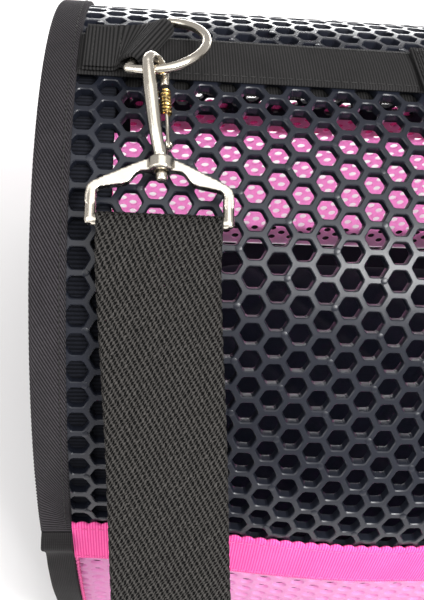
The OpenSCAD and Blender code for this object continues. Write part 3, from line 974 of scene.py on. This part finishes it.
BRACKET_LEG = [(10.6, 1.5), (7, 1.75), (3.4, 1.75), (0.2, 1.8), (-1.2, 1.3)]
WING = [
    (2.6, 19.9), (4.4, 19.9), (6.6, 19.2), (12.3, 16.4), (19.0, 13.0), (21.4, 11.4), (22.3, 9.4),
    (22.3, 5.0), (19.4, 5.0), (19.3, 9.0), (18.2, 10.3), (14.5, 11.1), (11.0, 11.8), (9.2, 13.0),
    (7.6, 15.2), (6.4, 16.1), (4.4, 16.4), (2.6, 16.4),
]


def hook_bracket(end, side):
    """Yoke that carries the strap's bar, with a bored hub for the swivel."""
    parts = [turned_ring(HEAD_REACH, 4.4, 1.95, 4.2)]
    for hand in (-1, 1):
        parts.append(plate(WING, 3.0, hand))
        parts.append(rod([(hand * 20.8, y, 0) for y, _ in BRACKET_LEG], [r for _, r in BRACKET_LEG]))
    parts.append(rod([(-20.4, 0, 0), (0, 0, 0), (20.4, 0, 0)], BAR_RADIUS))
    piece = cast(f"cast_hook_bracket_{end}", parts, at_bar, side, f"bracket_{end}")
    stand_in(piece, "bright_metal", f"hook_bracket_{end}")


def snap_hook(end, side):
    """Swivel hook: a turned stem through the bracket's hub, a shank, a bow and a nose."""
    low, high = HEAD_REACH - 5.5, HEAD_REACH + 2.7
    stem = [(low, 1.3), (low + 0.5, 1.8), (HEAD_REACH - 3.0, 1.95), (HEAD_REACH - 2.5, 1.6)]
    head = [(high, 1.5), (high + 0.1, 2.2), (high + 0.8, 2.3), (YOKE - 1, 2.2), (YOKE + 1.4, 2.0)]
    turns = np.linspace(math.pi, 0, 9)
    bow = [(0.7 + 4.7 * math.cos(a), BOW_REACH + 4.3 * math.sin(a), 0) for a in turns]
    shank = [(-0.5, YOKE - 1.4, 0), (-1.3, YOKE + 2, 0), (-2.2, YOKE + 7, 0), (-3.4, BOW_REACH - 8, 0)]
    nose = [(NOSE_X, BOW_REACH - 1.5, 0), (NOSE_X, GATE_TIP + 0.9, 0)]
    ear = [(0.2, YOKE - 0.4, 0), (2.6, YOKE + 0.2, 0), (4.5, YOKE + 1.2, 0), (5.2, YOKE + 1.8, 0)]
    parts = [
        lathe(stem + [(HEAD_REACH, 1.5), (high, 1.5)] + head[1:]),
        rod(shank + bow + nose, [2.0, 2.05, 2.15, 2.3] + [1.85] * 9 + [1.6, 1.5]),
        rod(ear, [1.6, 1.3, 1.1, 1.0]),
    ]
    piece = cast(f"cast_snap_hook_{end}", parts, at_stem, side, f"hook_{end}")
    stand_in(piece, "bright_metal", f"snap_hook_{end}")


def hook_gate(end, side):
    """Sprung wire gate that curls round its pivot, with a brass coil near its tip."""
    turns = np.linspace(-1.3, 1.25, 16) * math.pi
    curl = [(NOSE_X + 1.1 * math.sin(a), GATE_PIVOT + 1.1 * math.cos(a), 0.1 * a) for a in turns]
    blade = [(NOSE_X - 0.3, GATE_PIVOT + 4, 0), (NOSE_X, GATE_PIVOT + 8, 0), (NOSE_X, GATE_TIP, 0)]
    points, faces = rod(curl + blade, 0.6, steps=4, sides=12)
    gate = new_piece(f"bent_gate_{end}", flipped(at_stem(points), side), faces, NICKEL, f"gate_{end}")
    stand_in(gate, "bright_metal", f"hook_gate_{end}")
    angle = np.linspace(0, 6.5 * TAU, 150)
    foot = GATE_TIP - 9.0
    coil = grid(NOSE_X + 1.4 * np.cos(angle), foot + angle / TAU * 1.25, 1.4 * np.sin(angle))
    points, faces = solid(tube_rings(coil, 0.4, 8))
    spring = new_piece(f"coil_{end}", flipped(at_stem(points), side), faces, BRASS, f"gate_{end}")
    stand_in(spring, "spring_brass", f"gate_spring_{end}")


RING_BAR = np.array([-161.634, 0.655, 234.941])
RING_ALONG = np.array([0.4086, 0.9116, -0.0444])
RING_ACROSS = unit(np.cross(RING_ALONG, [0, 0, 1.0]))
RING_UP = np.cross(RING_ACROSS, RING_ALONG)
RING_LOOP_RADIUS = 2.72
RING_LOOP_TURNS = np.radians([-115, -75, -35, 5, 45, 85, 120])


def ring_tape(end, side):
    """Webbing wrapped round the ring's bar, its two tails sewn to the ridge webbing."""
    low = RIDGE_Z + BINDING_THICKNESS + 0.75 - RING_BAR[2]
    lower = [(p, low) for p in (-22.2, -18, -13, -8)]
    loop = [(RING_LOOP_RADIUS * math.cos(a), RING_LOOP_RADIUS * math.sin(a)) for a in RING_LOOP_TURNS]
    upper = [(p, low + 1.5) for p in (-7, -12, -17, -21.6)]
    route = smooth_path(lower + loop + upper, 12)
    reach = distances(route)
    route = np.hstack([route, unit(np.gradient(route, axis=0))])
    section = tape_section(27.0, TAPE_THICKNESS, 13)
    raised = np.ones(len(section))

    def place(along, across, lift):
        p, q, run_p, run_q = np.moveaxis(follow(route, reach, along), -1, 0)
        p = p + (lift - TAPE_THICKNESS / 2) * run_q
        q = q - (lift - TAPE_THICKNESS / 2) * run_p
        tail = smooth((-p - 3) / 10)[..., None]
        squeeze = 1 - 0.13 * tail
        sideways = RING_ALONG * (1 - tail) + np.array([0, 1.0, 0]) * tail
        forward = RING_ACROSS * (1 - tail) + np.array([1.0, 0, 0]) * tail
        up = RING_UP * (1 - tail) + np.array([0, 0, 1.0]) * tail
        middle = RING_BAR + p[..., None] * forward + q[..., None] * up
        return flipped(middle + across[..., None] * sideways * squeeze, side)

    along = np.arange(0, reach[-1], 0.3)
    piece = woven_loft(f"woven_ring_tape_{end}", along, section, raised, place, WEBBING, 1.2, depth=0.2)
    stand_in(piece, "black_webbing", f"ring_tape_{end}")
    rows = [grid(side * x, np.linspace(-10, 10, 12), RIDGE_Z + 4.15) for x in (171.5, 180.5)]
    stitch_rows(f"stitches_ring_tape_{end}", rows, 2.9, BLACK_THREAD, radius=0.25)


STRAP_WIDTH = 38.0
STRAP_THICKNESS = 1.6
LAYER_GAP = 0.9
FOLD_MIDDLE = BAR_RADIUS + 0.5 + STRAP_THICKNESS / 2
# Rows are x, y, z, the turn of the webbing's width from x, and half the gap between two layers
FALL = [
    [-HOOK_X, *BAR, 0, FOLD_MIDDLE],
    [-HOOK_X, -75.5, 209.8, 0, 1.9],
    [-156.2, -88.5, 197, 0, LAYER_GAP],
    [-153.3, -117.5, 170.5, 0, LAYER_GAP],
    [-150.5, -153.5, 138, 0, LAYER_GAP],
    [-147, -177, 112, 8, LAYER_GAP],
    [-142, -189.5, 84, 30, LAYER_GAP],
    [-134, -193, 57, 60, LAYER_GAP],
    [-121, -192, 32, 82, LAYER_GAP],
    [-102, -190, 13, 90, LAYER_GAP],
    [-82, -188, 3.8, 90, LAYER_GAP],
]
SLIDER_X = -46.0
SLIDER_Y = -186.5
SLIDER_Z = 5.2
GROUND_RUN = [
    [-67, -187, 2.1, 90, LAYER_GAP],
    [-59.5, -187, 2, 90, LAYER_GAP],
    [SLIDER_X, SLIDER_Y, 6.6, 90, LAYER_GAP],
    [-32.5, -186, 2, 90, LAYER_GAP],
    [-18, -186, 0.5, 90, LAYER_GAP],
    [0, -186, 0.3, 90, LAYER_GAP],
    [30, -186, 0.3, 90, LAYER_GAP],
    [62, -187, 0.6, 90, LAYER_GAP],
]
RISE = [[-x, y, z, 180 - angle, gap] for x, y, z, angle, gap in FALL[::-1]]
TWILL_SLANT = 2.15
TWILL_PITCH = 4.1
SEAM_HALF = 14.5
SEAM_LIFT = 0.85


def strap_layer(route, side):
    """Middle, width direction and outward direction of one layer, along a smooth route."""
    route = smooth_path(route, 10)
    ahead = unit(np.gradient(route[:, :3], axis=0))
    angle = np.radians(route[:, 3])
    guide = np.column_stack([np.cos(angle), np.sin(angle), np.zeros(len(route))])
    across = unit(guide - ahead * np.sum(guide * ahead, axis=1, keepdims=True))
    out = np.cross(ahead, across)
    return np.concatenate([route[:, :3] + side * route[:, 4:] * out, across, side * out], axis=1)


def strap_fold(before, after, bar):
    """Half turn round a bar, from the end of one layer to the start of the next."""
    start, stop = before[-1], after[0]
    towards = unit(np.array([0, *bar]) - np.array([0, *before[-4, 1:3]]))
    rows = []
    for angle in np.radians(np.arange(12, 180, 12)):
        out = math.cos(angle) * start[6:9] + math.sin(angle) * towards
        rows.append(np.concatenate([[start[0], *bar] + FOLD_MIDDLE * out, stop[3:6], unit(out)]))
    return np.array(rows)


def shoulder_strap():
    """One length of webbing: up from the slider, over the left bar, down, through the slider
    again, over the right bar and back to its sewn end."""
    back = strap_layer(FALL + GROUND_RUN[:1], -1)[::-1]
    front = strap_layer(FALL + GROUND_RUN + RISE, 1)
    tail = strap_layer(RISE[-4:], -1)[::-1]
    rows = np.vstack([back, strap_fold(back, front, BAR), front, strap_fold(front, tail, BAR), tail])
    reach = distances(rows[:, :3])
    section = tape_section(STRAP_WIDTH, STRAP_THICKNESS, 29, below=27)
    raised = np.ones(len(section))
    last = reach[-1]

    def place(along, across, lift):
        lean = TWILL_SLANT * across * smooth(np.minimum(along, last - along) / 90)
        put = follow(rows, reach, np.clip(along + lean, 0, last))
        raise_by = (lift - STRAP_THICKNESS / 2)[..., None]
        return put[..., :3] + across[..., None] * unit(put[..., 3:6]) + raise_by * unit(put[..., 6:9])

    along = np.arange(0, last, TWILL_PITCH / 6)
    piece = woven_loft("woven_strap", along, section, raised, place, TWILL, TWILL_PITCH, 0.2, "strap")
    stand_in(piece, "black_webbing", "shoulder_strap", "strap_return", "strap_folds")
    seam = tail[6:-3]
    surface = seam[:, :3] + seam[:, 6:9] * SEAM_LIFT
    rows = [surface + seam[:, 3:6] * across for across in (-SEAM_HALF, SEAM_HALF)]
    width = np.linspace(-SEAM_HALF, SEAM_HALF, 9)[:, None]
    rows += [surface[i] + width * seam[i, 3:6] for i in (0, -1)]
    stitch_rows("stitches_strap", rows, 2.9, BLACK_THREAD, body="strap", radius=0.3)


def strap_slider():
    """Wire slider: a rounded frame with a bar across its middle."""
    half, reach, wire, bend = STRAP_WIDTH / 2 + 2.6, 13.5, 1.3, 2.6
    corners = []
    for x_sign, y_sign, start in ((1, -1, -90), (1, 1, 0), (-1, 1, 90), (-1, -1, 180)):
        for angle in np.radians(np.linspace(start, start + 90, 7)):
            corners.append((
                x_sign * (reach - bend) + bend * math.cos(angle),
                y_sign * (half - bend) + bend * math.sin(angle), 0,
            ))
    frame_rings = tube_rings(np.array(corners + corners[:1]), wire, 14)[:-1]
    bar = tube_rings(np.array([(0, y, 0) for y in np.linspace(-half, half, 9)]), wire, 14)
    points, faces = combined([solid(frame_rings, closed=True), solid(bar)])
    points = points + [SLIDER_X, SLIDER_Y, SLIDER_Z]
    stand_in(new_piece("wire_slider", points, faces, NICKEL, "strap"), "bright_metal", "strap_slider")


for side, end in ENDS:
    hook_bracket(end, side)
    snap_hook(end, side)
    hook_gate(end, side)
    ring_tape(end, side)
shoulder_strap()
strap_slider()


# Ends, door and zip

DOOR_SILL = 26.0
ZIP_INSET = 23.1
DOOR_ZIP_INSET = 25.4
DOOR_INSET = 26.4
BORDER = 22.0
AIR_PITCH = (4.4, 5.08)
AIR_RINGS = ((2.5, 0.0), (2.1, 0.5), (2.4, 2.6))
ZIP_TAPE = [(-0.9, -1), (-0.9, 0.5), (-0.6, 0.8), (0.6, 0.8), (0.9, 0.5), (0.9, -1)]
ZIP_TAIL = [(-2.4, 0.0), (-2.4, 0.3), (-1.6, 0.45), (0, 0.5), (1.6, 0.45), (2.4, 0.3), (2.4, 0.0)]
ZIP_TAIL_Y = 103
COIL_WIDE = 0.62
COIL_HIGH = 0.34


def pressed_inside(y, z, inset, floor_z):
    """Moves a point of an end to the nearest place inside the arch and above a floor."""
    out, foot_y, foot_z, normal_y, normal_z = arch_out(y, z)
    if out > -inset:
        y = float(foot_y - inset * normal_y)
        z = float(foot_z - inset * normal_z)
    return y, max(z, floor_z)


def air_mesh(name, node, side, inset, floor_z, slot_name, body="bag"):
    """Spacer mesh with small round holes, closed along its edges."""
    edge = inset + 5.0

    def is_open(y, z):
        return float(arch_out(y, z)[0]) < -edge and z > floor_z + 5

    def clamp(y, z):
        return pressed_inside(y, z, inset, floor_z)

    cells = [
        cell for cell in lattice((-126, 126), (floor_z, RIDGE_Z), AIR_PITCH, (0, 0), is_open)
        if float(arch_out(cell[0], cell[1])[0]) < 4 - inset
    ]
    rings = [(oval(wide, wide, 6), depth) for wide, depth in AIR_RINGS]
    flat, faces = perforated(cells, AIR_PITCH, rings, clamp)
    bow = 0.25 * np.sin(flat[:, 0] / 23.0) * np.sin(flat[:, 1] / 19.0)
    points = grid(side * (PANEL_OUTER - 0.4 - flat[:, 2] + bow), flat[:, 0], flat[:, 1])
    piece = new_piece(name, points, faces, AIR_MESH, body, smooth_angle=40)
    stand_in(piece, slot_name, node)


def edge_route(inset, floor_z, step):
    """Points (y, z) round the arch at an inset, from the floor in front to the floor behind."""
    s = np.linspace(-GROUND_S, GROUND_S, 1200)
    y, z = shell(PANEL_OUTER, s, -inset)[:, 1:].T
    kept = z >= floor_z
    route = np.column_stack([y[kept], z[kept]])
    reach = distances(route)
    return follow(route, reach, np.arange(0, reach[-1], step))


def door_border():
    """Cloth border between the arch and the door, broader below the sill."""
    s = np.linspace(-GROUND_S, GROUND_S, 190)
    outer = shell(PANEL_OUTER, s, -0.1)[:, 1:]
    inner = shell(PANEL_OUTER, s, -BORDER)[:, 1:]
    corner_y = np.abs(inner[inner[:, 1] >= DOOR_SILL, 0]).max()
    inner = grid(np.clip(inner[:, 0], -corner_y, corner_y), np.maximum(inner[:, 1], DOOR_SILL))
    last_y, last_z = outer[-1]
    across = np.linspace(1, -1, 42)[1:-1]
    outer = np.vstack([outer, grid(across * last_y, last_z)])
    inner = np.vstack([inner, grid(across * np.sign(last_y) * corner_y, DOOR_SILL)])
    share = np.linspace(0, 1, 9)
    puff = 0.35 * np.sin(math.pi * share)
    y, z = np.moveaxis(outer[:, None] + share[:, None] * (inner - outer)[:, None], -1, 0)
    front = grid(PANEL_OUTER - 0.45 + puff, y, z)
    back = grid(PANEL_INNER + 0.1, y[:, ::-2], z[:, ::-2])
    rings = np.concatenate([front, back], axis=1)
    sewn("sewn_door_border", [solid(rings, closed=True)], [rings[..., 1:]], BLACK_CLOTH, "door_border")


def zip_side(name, node, inset, floor_z, body):
    """One side of the zip: the edge of its tape with the coil of teeth on it."""
    route = edge_route(inset, floor_z, 1.0)
    ahead = unit(np.gradient(route, axis=0))
    across, lift = np.array(ZIP_TAPE).T
    y = route[:, :1] - ahead[:, 1:] * across
    z = route[:, 1:] + ahead[:, :1] * across
    parts = [solid(grid(PANEL_OUTER - 0.9 + lift * 0.9, y, z))]
    coil = edge_route(inset, floor_z, 0.13)
    ahead = unit(np.gradient(coil, axis=0))
    angle = np.arange(len(coil)) * TAU / 10
    across = COIL_WIDE * np.cos(angle)
    height = PANEL_OUTER + 0.1 + COIL_HIGH * np.sin(angle)
    path = grid(height, coil[:, 0] - ahead[:, 1] * across, coil[:, 1] + ahead[:, 0] * across)
    parts.append(solid(tube_rings(path, 0.2, 5)))
    stand_in(new_piece(name, *combined(parts), ZIP_PLASTIC, body, 60), "zip_plastic", node)


def zip_tails():
    """Ends of the fixed zip tape, sewn flat below the sill on each side."""
    across, lift = np.array(ZIP_TAIL).T
    z = np.linspace(DOOR_SILL - 15.8, DOOR_SILL - 0.6, 20)[:, None]
    weave = 0.06 * np.sin(z * 6) * (lift > 0.4)
    out = PANEL_OUTER + 0.02 + lift + weave
    parts = [solid(grid(out, y + across, z)) for y in (-ZIP_TAIL_Y, ZIP_TAIL_Y)]
    stand_in(new_piece("zip_tails", *combined(parts), ZIP_PLASTIC), "zip_plastic")


air_mesh("knitted_end_panel", "end_panel_left", -1, 0.2, 0.4, "black_mesh")
air_mesh("knitted_door", "door_panel", 1, DOOR_INSET, DOOR_SILL + 0.6, "black_mesh", "door")
door_border()
zip_side("zip_teeth_fixed", "zip_chain_fixed", ZIP_INSET, DOOR_SILL, "bag")
zip_side("zip_teeth_door", "zip_chain_door", DOOR_ZIP_INSET, DOOR_SILL + 0.6, "door")
zip_tails()


# Handle

HANDLE_HALF_SPAN = 46.0
HANDLE_RISE = 30.0
HANDLE_RADIUS = (HANDLE_HALF_SPAN**2 + HANDLE_RISE**2) / (2 * HANDLE_RISE)
HANDLE_AXIS_Z = RIDGE_Z + 8.7
HANDLE_MIDDLE_Z = HANDLE_AXIS_Z + HANDLE_RISE - HANDLE_RADIUS
HANDLE_SWING = math.radians(35)
FOOT_Z = RIDGE_Z + BINDING_THICKNESS
GRIP_HALF = 31.0
FOOT_ROUTE = [(67.8, 0.75), (60, 0.75), (54, 0.75), (51.2, 1.7), (48.8, 4.0), (46.5, 6.4)]
FOOT_THICKNESS = 1.2


def on_handle(angle, y, lift):
    """A point at an angle from the handle's top, raised above the webbing's outer face."""
    reach = HANDLE_RADIUS + lift
    return grid(reach * np.sin(angle), y, HANDLE_MIDDLE_Z + reach * np.cos(angle))


def handle_webbing():
    """Arched webbing whose two ends are cut to points, so that it can tip over its feet."""
    section, raised = flat_section(TAPE_WIDTH, 1.3, 13)
    run = HANDLE_RADIUS * 1.15

    def place(along, across, lift):
        foot = HANDLE_AXIS_Z + 0.4 + np.abs(across) * math.tan(HANDLE_SWING)
        end = np.arccos(np.clip((foot - HANDLE_MIDDLE_Z) / HANDLE_RADIUS, -1, 1))
        return on_handle(along / run * end, across, lift - 1.35)

    along = np.linspace(-run, run, 460)
    piece = woven_loft("woven_handle", along, section, raised, place, WEBBING, RIB, 0.22, "handle")
    stand_in(piece, "black_webbing", "handle_webbing")


def handle_grip():
    """Padded sleeve sewn shut along the handle's underside, gathered at its two ends."""
    end = math.asin(GRIP_HALF / HANDLE_RADIUS)
    turns = np.linspace(0, TAU, 40, endpoint=False)
    rings = []
    for angle in np.linspace(-end, end, 70):
        left = (end - abs(angle)) * HANDLE_RADIUS
        full = 0.72 + 0.28 * math.sqrt(smooth(left / 7))
        pucker = 1 - 0.02 * (1 - smooth(left / 12)) * np.cos(turns * 9)
        wide = 15.2 * full * pucker * np.sign(np.cos(turns)) * np.abs(np.cos(turns)) ** 0.72
        tall = 4.6 * full * pucker * np.sign(np.sin(turns)) * np.abs(np.sin(turns)) ** 0.72
        seam = 0.9 * np.exp(-((wide / 1.2) ** 2)) * (tall < 0)
        rings.append(on_handle(angle, wide, tall + seam - 0.7))
    piece = loft("padded_grip", np.array(rings), GRIP_CLOTH, "handle")
    stand_in(piece, "black_cloth", "handle_grip")
    inside = np.linspace(-end + 0.05, end - 0.05, 50)
    rows = [on_handle(inside, y, -5.35) for y in (-2.1, 2.1)]
    share = np.linspace(-1, 1, 14)
    rows += [on_handle(sign * (end - 0.075), 11 * share, 3.35 - 0.35 * share**4) for sign in (-1, 1)]
    stitch_rows("stitches_grip", rows, 3.0, BLACK_THREAD, body="handle", radius=0.25)


def handle_feet():
    """Webbing tabs that rise from the ridge to the handle, each sewn down with a crossed box."""
    section, raised = flat_section(TAPE_WIDTH - 0.4, FOOT_THICKNESS, 13)
    route = smooth_path(FOOT_ROUTE, 12)
    reach = distances(route)
    route = np.hstack([route, unit(np.gradient(route, axis=0))])
    along = np.arange(0, reach[-1], RIB / 4)
    low, high, half = 55.5, 66.3, 10
    outline = [(low, -half), (low, half), (high, half), (high, -half), (low, -half), (high, half)]
    box = [*zip(outline, outline[1:]), ((low, half), (high, -half))]
    for side, end in ENDS:

        def place(along, across, lift):
            x, z, run_x, run_z = np.moveaxis(follow(route, reach, along), -1, 0)
            raise_by = lift - FOOT_THICKNESS / 2
            return grid(side * (x + raise_by * run_z), across, FOOT_Z + z - raise_by * run_x)

        piece = woven_loft(f"woven_handle_foot_{end}", along, section, raised, place, WEBBING, RIB, 0.22)
        stand_in(piece, "black_webbing", "handle_feet")
        lines = [np.linspace(a, b, 12) for a, b in box]
        rows = [grid(side * x, y, FOOT_Z + 1.42) for x, y in (np.vstack(lines[:-1]).T, lines[-1].T)]
        stitch_rows(f"stitches_handle_foot_{end}", rows, 2.6, BLACK_THREAD, radius=0.25)


handle_webbing()
handle_grip()
handle_feet()


# Floor

PAD_LOW = 4.6
PAD_HALF = (181.0, 114.0)
PAD_HEIGHT = 12.4
PAD_SHRINK = 3
PAD_BASE_Z = PAD_LOW + 1.5
PAD_PROFILE = [(0.0, 5.0), (1.2, 1.2), (5.0, 0.0), (7.4, 1.2), (8.6, 5.0)]
PAD_SQUARENESS = 1.45
PAD_VOXEL = 5
QUILT = 52.0
QUILT_DEPTH = 2.6


def vertex_places(piece):
    """Every vertex of a piece, in millimetres."""
    points = np.empty(len(piece.data.vertices) * 3)
    piece.data.vertices.foreach_get("co", points)
    return points.reshape(-1, 3) / MM


def floor_pad():
    """Loose cushion: a flat bag of cloth blown up by its filling, then quilted."""
    turns = np.radians(np.linspace(0, 360, 88, endpoint=False))
    rings = []
    for z, inset in PAD_PROFILE:
        half_x, half_y = (half - PAD_SHRINK - inset for half in PAD_HALF)
        x = np.clip(np.cos(turns) * half_x * PAD_SQUARENESS, -half_x, half_x)
        y = np.clip(np.sin(turns) * half_y * PAD_SQUARENESS, -half_y, half_y)
        rings.append(grid(x, y, PAD_BASE_Z + z))
    piece = loft("quilted_floor_pad", np.array(rings), PAD_CLOTH)
    remesh = piece.modifiers.new("remesh", "REMESH")
    remesh.mode = "VOXEL"
    remesh.voxel_size = PAD_VOXEL * MM
    applied(piece)
    cloth = piece.modifiers.new("cloth", "CLOTH")
    cloth.settings.use_pressure = True
    cloth.settings.uniform_pressure_force = 4
    cloth.settings.effector_weights.gravity = 0
    for step in range(1, 21):
        bpy.context.scene.frame_set(step)
    applied(piece)
    bpy.context.scene.frame_set(1)
    smoother = piece.modifiers.new("smoother", "SUBSURF")
    smoother.levels = smoother.render_levels = 1
    applied(piece)
    points = vertex_places(piece)
    x, y, z = points.T
    middle = PAD_LOW + PAD_HEIGHT / 2
    low, high = z.min(), z.max()
    x *= PAD_HALF[0] / np.abs(x).max()
    y *= PAD_HALF[1] / np.abs(y).max()
    z[:] = middle + (z - (low + high) / 2) * PAD_HEIGHT / (high - low)
    over = np.maximum(0, (z - middle) / (PAD_HEIGHT / 2))
    nearest = [np.abs((p / 1.41 + QUILT / 2) % QUILT - QUILT / 2) for p in (x + y, x - y)]
    channel = np.exp(-((np.minimum(*nearest) / 4.0) ** 2))
    z[:] = np.maximum(z - QUILT_DEPTH * channel * over, PAD_LOW)
    piece.data.vertices.foreach_set("co", (points * MM).ravel())
    piece.data.update()
    stand_in(piece, "pad_cloth", "floor_pad")


def bottom_cloth():
    """Cloth under the board, slightly rippled."""
    x = np.linspace(-PANEL_INNER + 0.2, PANEL_INNER - 0.2, 110)
    y = np.linspace(-120, 120, 70)
    ripple = 0.12 * np.sin(x[:, None] / 6.0) * np.sin(y / 8.0)
    top = grid(x[:, None], y, 1.75 + ripple)
    under = grid(x[:, None], y[::-1], 0.15 + 0.5 * ripple[:, ::-1] ** 2)
    rings = np.concatenate([top, under], axis=1)
    piece = loft("sewn_bottom_cloth", rings, BLACK_CLOTH)
    set_cloth(piece, rings[..., :2])
    stand_in(piece, "black_cloth", "bottom_panel")


floor_pad()
bottom_cloth()


def finish_node(name, material):
    """Gives a frame node that keeps its own shape its material."""
    node = bpy.data.objects[name]
    for place in node.material_slots:
        place.material = material


for side, end in ENDS:
    finish_node(f"d_ring_{end}", NICKEL)
    finish_node(f"hoop_wire_{end}", STEEL)
finish_node("zip_slider", NICKEL)
finish_node("zip_pull", NICKEL)
finish_node("base_board", BOARD)


# Camera, floor and light

CAMERA_PLACE = (-0.16113, -0.21059, 0.3738)
CAMERA_ROLL = math.radians(1.41)
CAMERA_YAW = math.radians(5.46)
CAMERA_PITCH = math.radians(53.15)
FLOOR_HALF = 12.0


def add_camera():
    """Looks down on the left end of the front, as a person standing over the bag would."""
    roll, yaw, pitch = CAMERA_ROLL, CAMERA_YAW, CAMERA_PITCH
    ahead = Vector((math.sin(yaw), math.cos(yaw) * math.cos(pitch), -math.cos(yaw) * math.sin(pitch)))
    level_up = Vector((0, math.sin(pitch), math.cos(pitch)))
    level_right = ahead.cross(level_up)
    right = level_right * math.cos(roll) + level_up * math.sin(roll)
    up = right.cross(ahead)
    data = bpy.data.cameras.new("camera")
    data.sensor_fit = "VERTICAL"
    data.sensor_height = 24
    data.lens = 28
    data.clip_start = 0.01
    camera = bpy.data.objects.new("camera", data)
    facing = Matrix((right, up, -ahead)).transposed().to_4x4()
    camera.matrix_world = Matrix.Translation(CAMERA_PLACE) @ facing
    bpy.context.scene.collection.objects.link(camera)
    bpy.context.scene.camera = camera


def add_floor():
    """A pale studio floor that the bag stands on."""
    n = Nodes("studio_floor", (0.86, 0.85, 0.85), 0.8)
    mesh = bpy.data.meshes.new("studio_floor")
    half = FLOOR_HALF
    corners = [(-half, -half, 0), (half, -half, 0), (half, half, 0), (-half, half, 0)]
    mesh.from_pydata(corners, [], [(0, 1, 2, 3)])
    mesh.materials.append(n.material)
    floor = bpy.data.objects.new("studio_floor", mesh)
    floor.location.z = -0.0005
    bpy.context.scene.collection.objects.link(floor)


def add_area_light(name, place, target, size, power):
    """A soft box at a place, facing its target."""
    data = bpy.data.lights.new(name, "AREA")
    data.shape = "RECTANGLE"
    data.size, data.size_y = size
    data.energy = power
    light = bpy.data.objects.new(name, data)
    light.location = place
    light.rotation_mode = "QUATERNION"
    light.rotation_quaternion = (Vector(target) - Vector(place)).to_track_quat("-Z", "Y")
    bpy.context.scene.collection.objects.link(light)


def add_light():
    """Even studio light: a soft sky, a key from the front right, a fill and a low back light."""
    world = bpy.data.worlds.new("studio")
    world.use_nodes = True
    world.node_tree.nodes["Background"].inputs["Color"].default_value = (1.0, 0.98, 0.98, 1)
    world.node_tree.nodes["Background"].inputs["Strength"].default_value = 0.5
    bpy.context.scene.world = world
    middle = (-0.05, -0.05, 0.12)
    add_area_light("key", (0.55, -0.75, 1.15), middle, (0.7, 0.5), 24)
    add_area_light("fill", (-0.9, -0.5, 0.8), middle, (0.8, 0.8), 5)
    add_area_light("back", (0.0, 0.9, 0.1), (0.0, 0.1, 0.08), (1.2, 0.14), 6)
    sky = bpy.data.lights.new("sky", "SUN")
    sky.energy = 1.5
    sky.angle = math.radians(70)
    overhead = bpy.data.objects.new("sky", sky)
    overhead.rotation_euler = (math.radians(18), math.radians(8), 0)
    bpy.context.scene.collection.objects.link(overhead)
    bpy.context.scene.view_settings.view_transform = "Standard"


add_camera()
add_floor()
add_light()
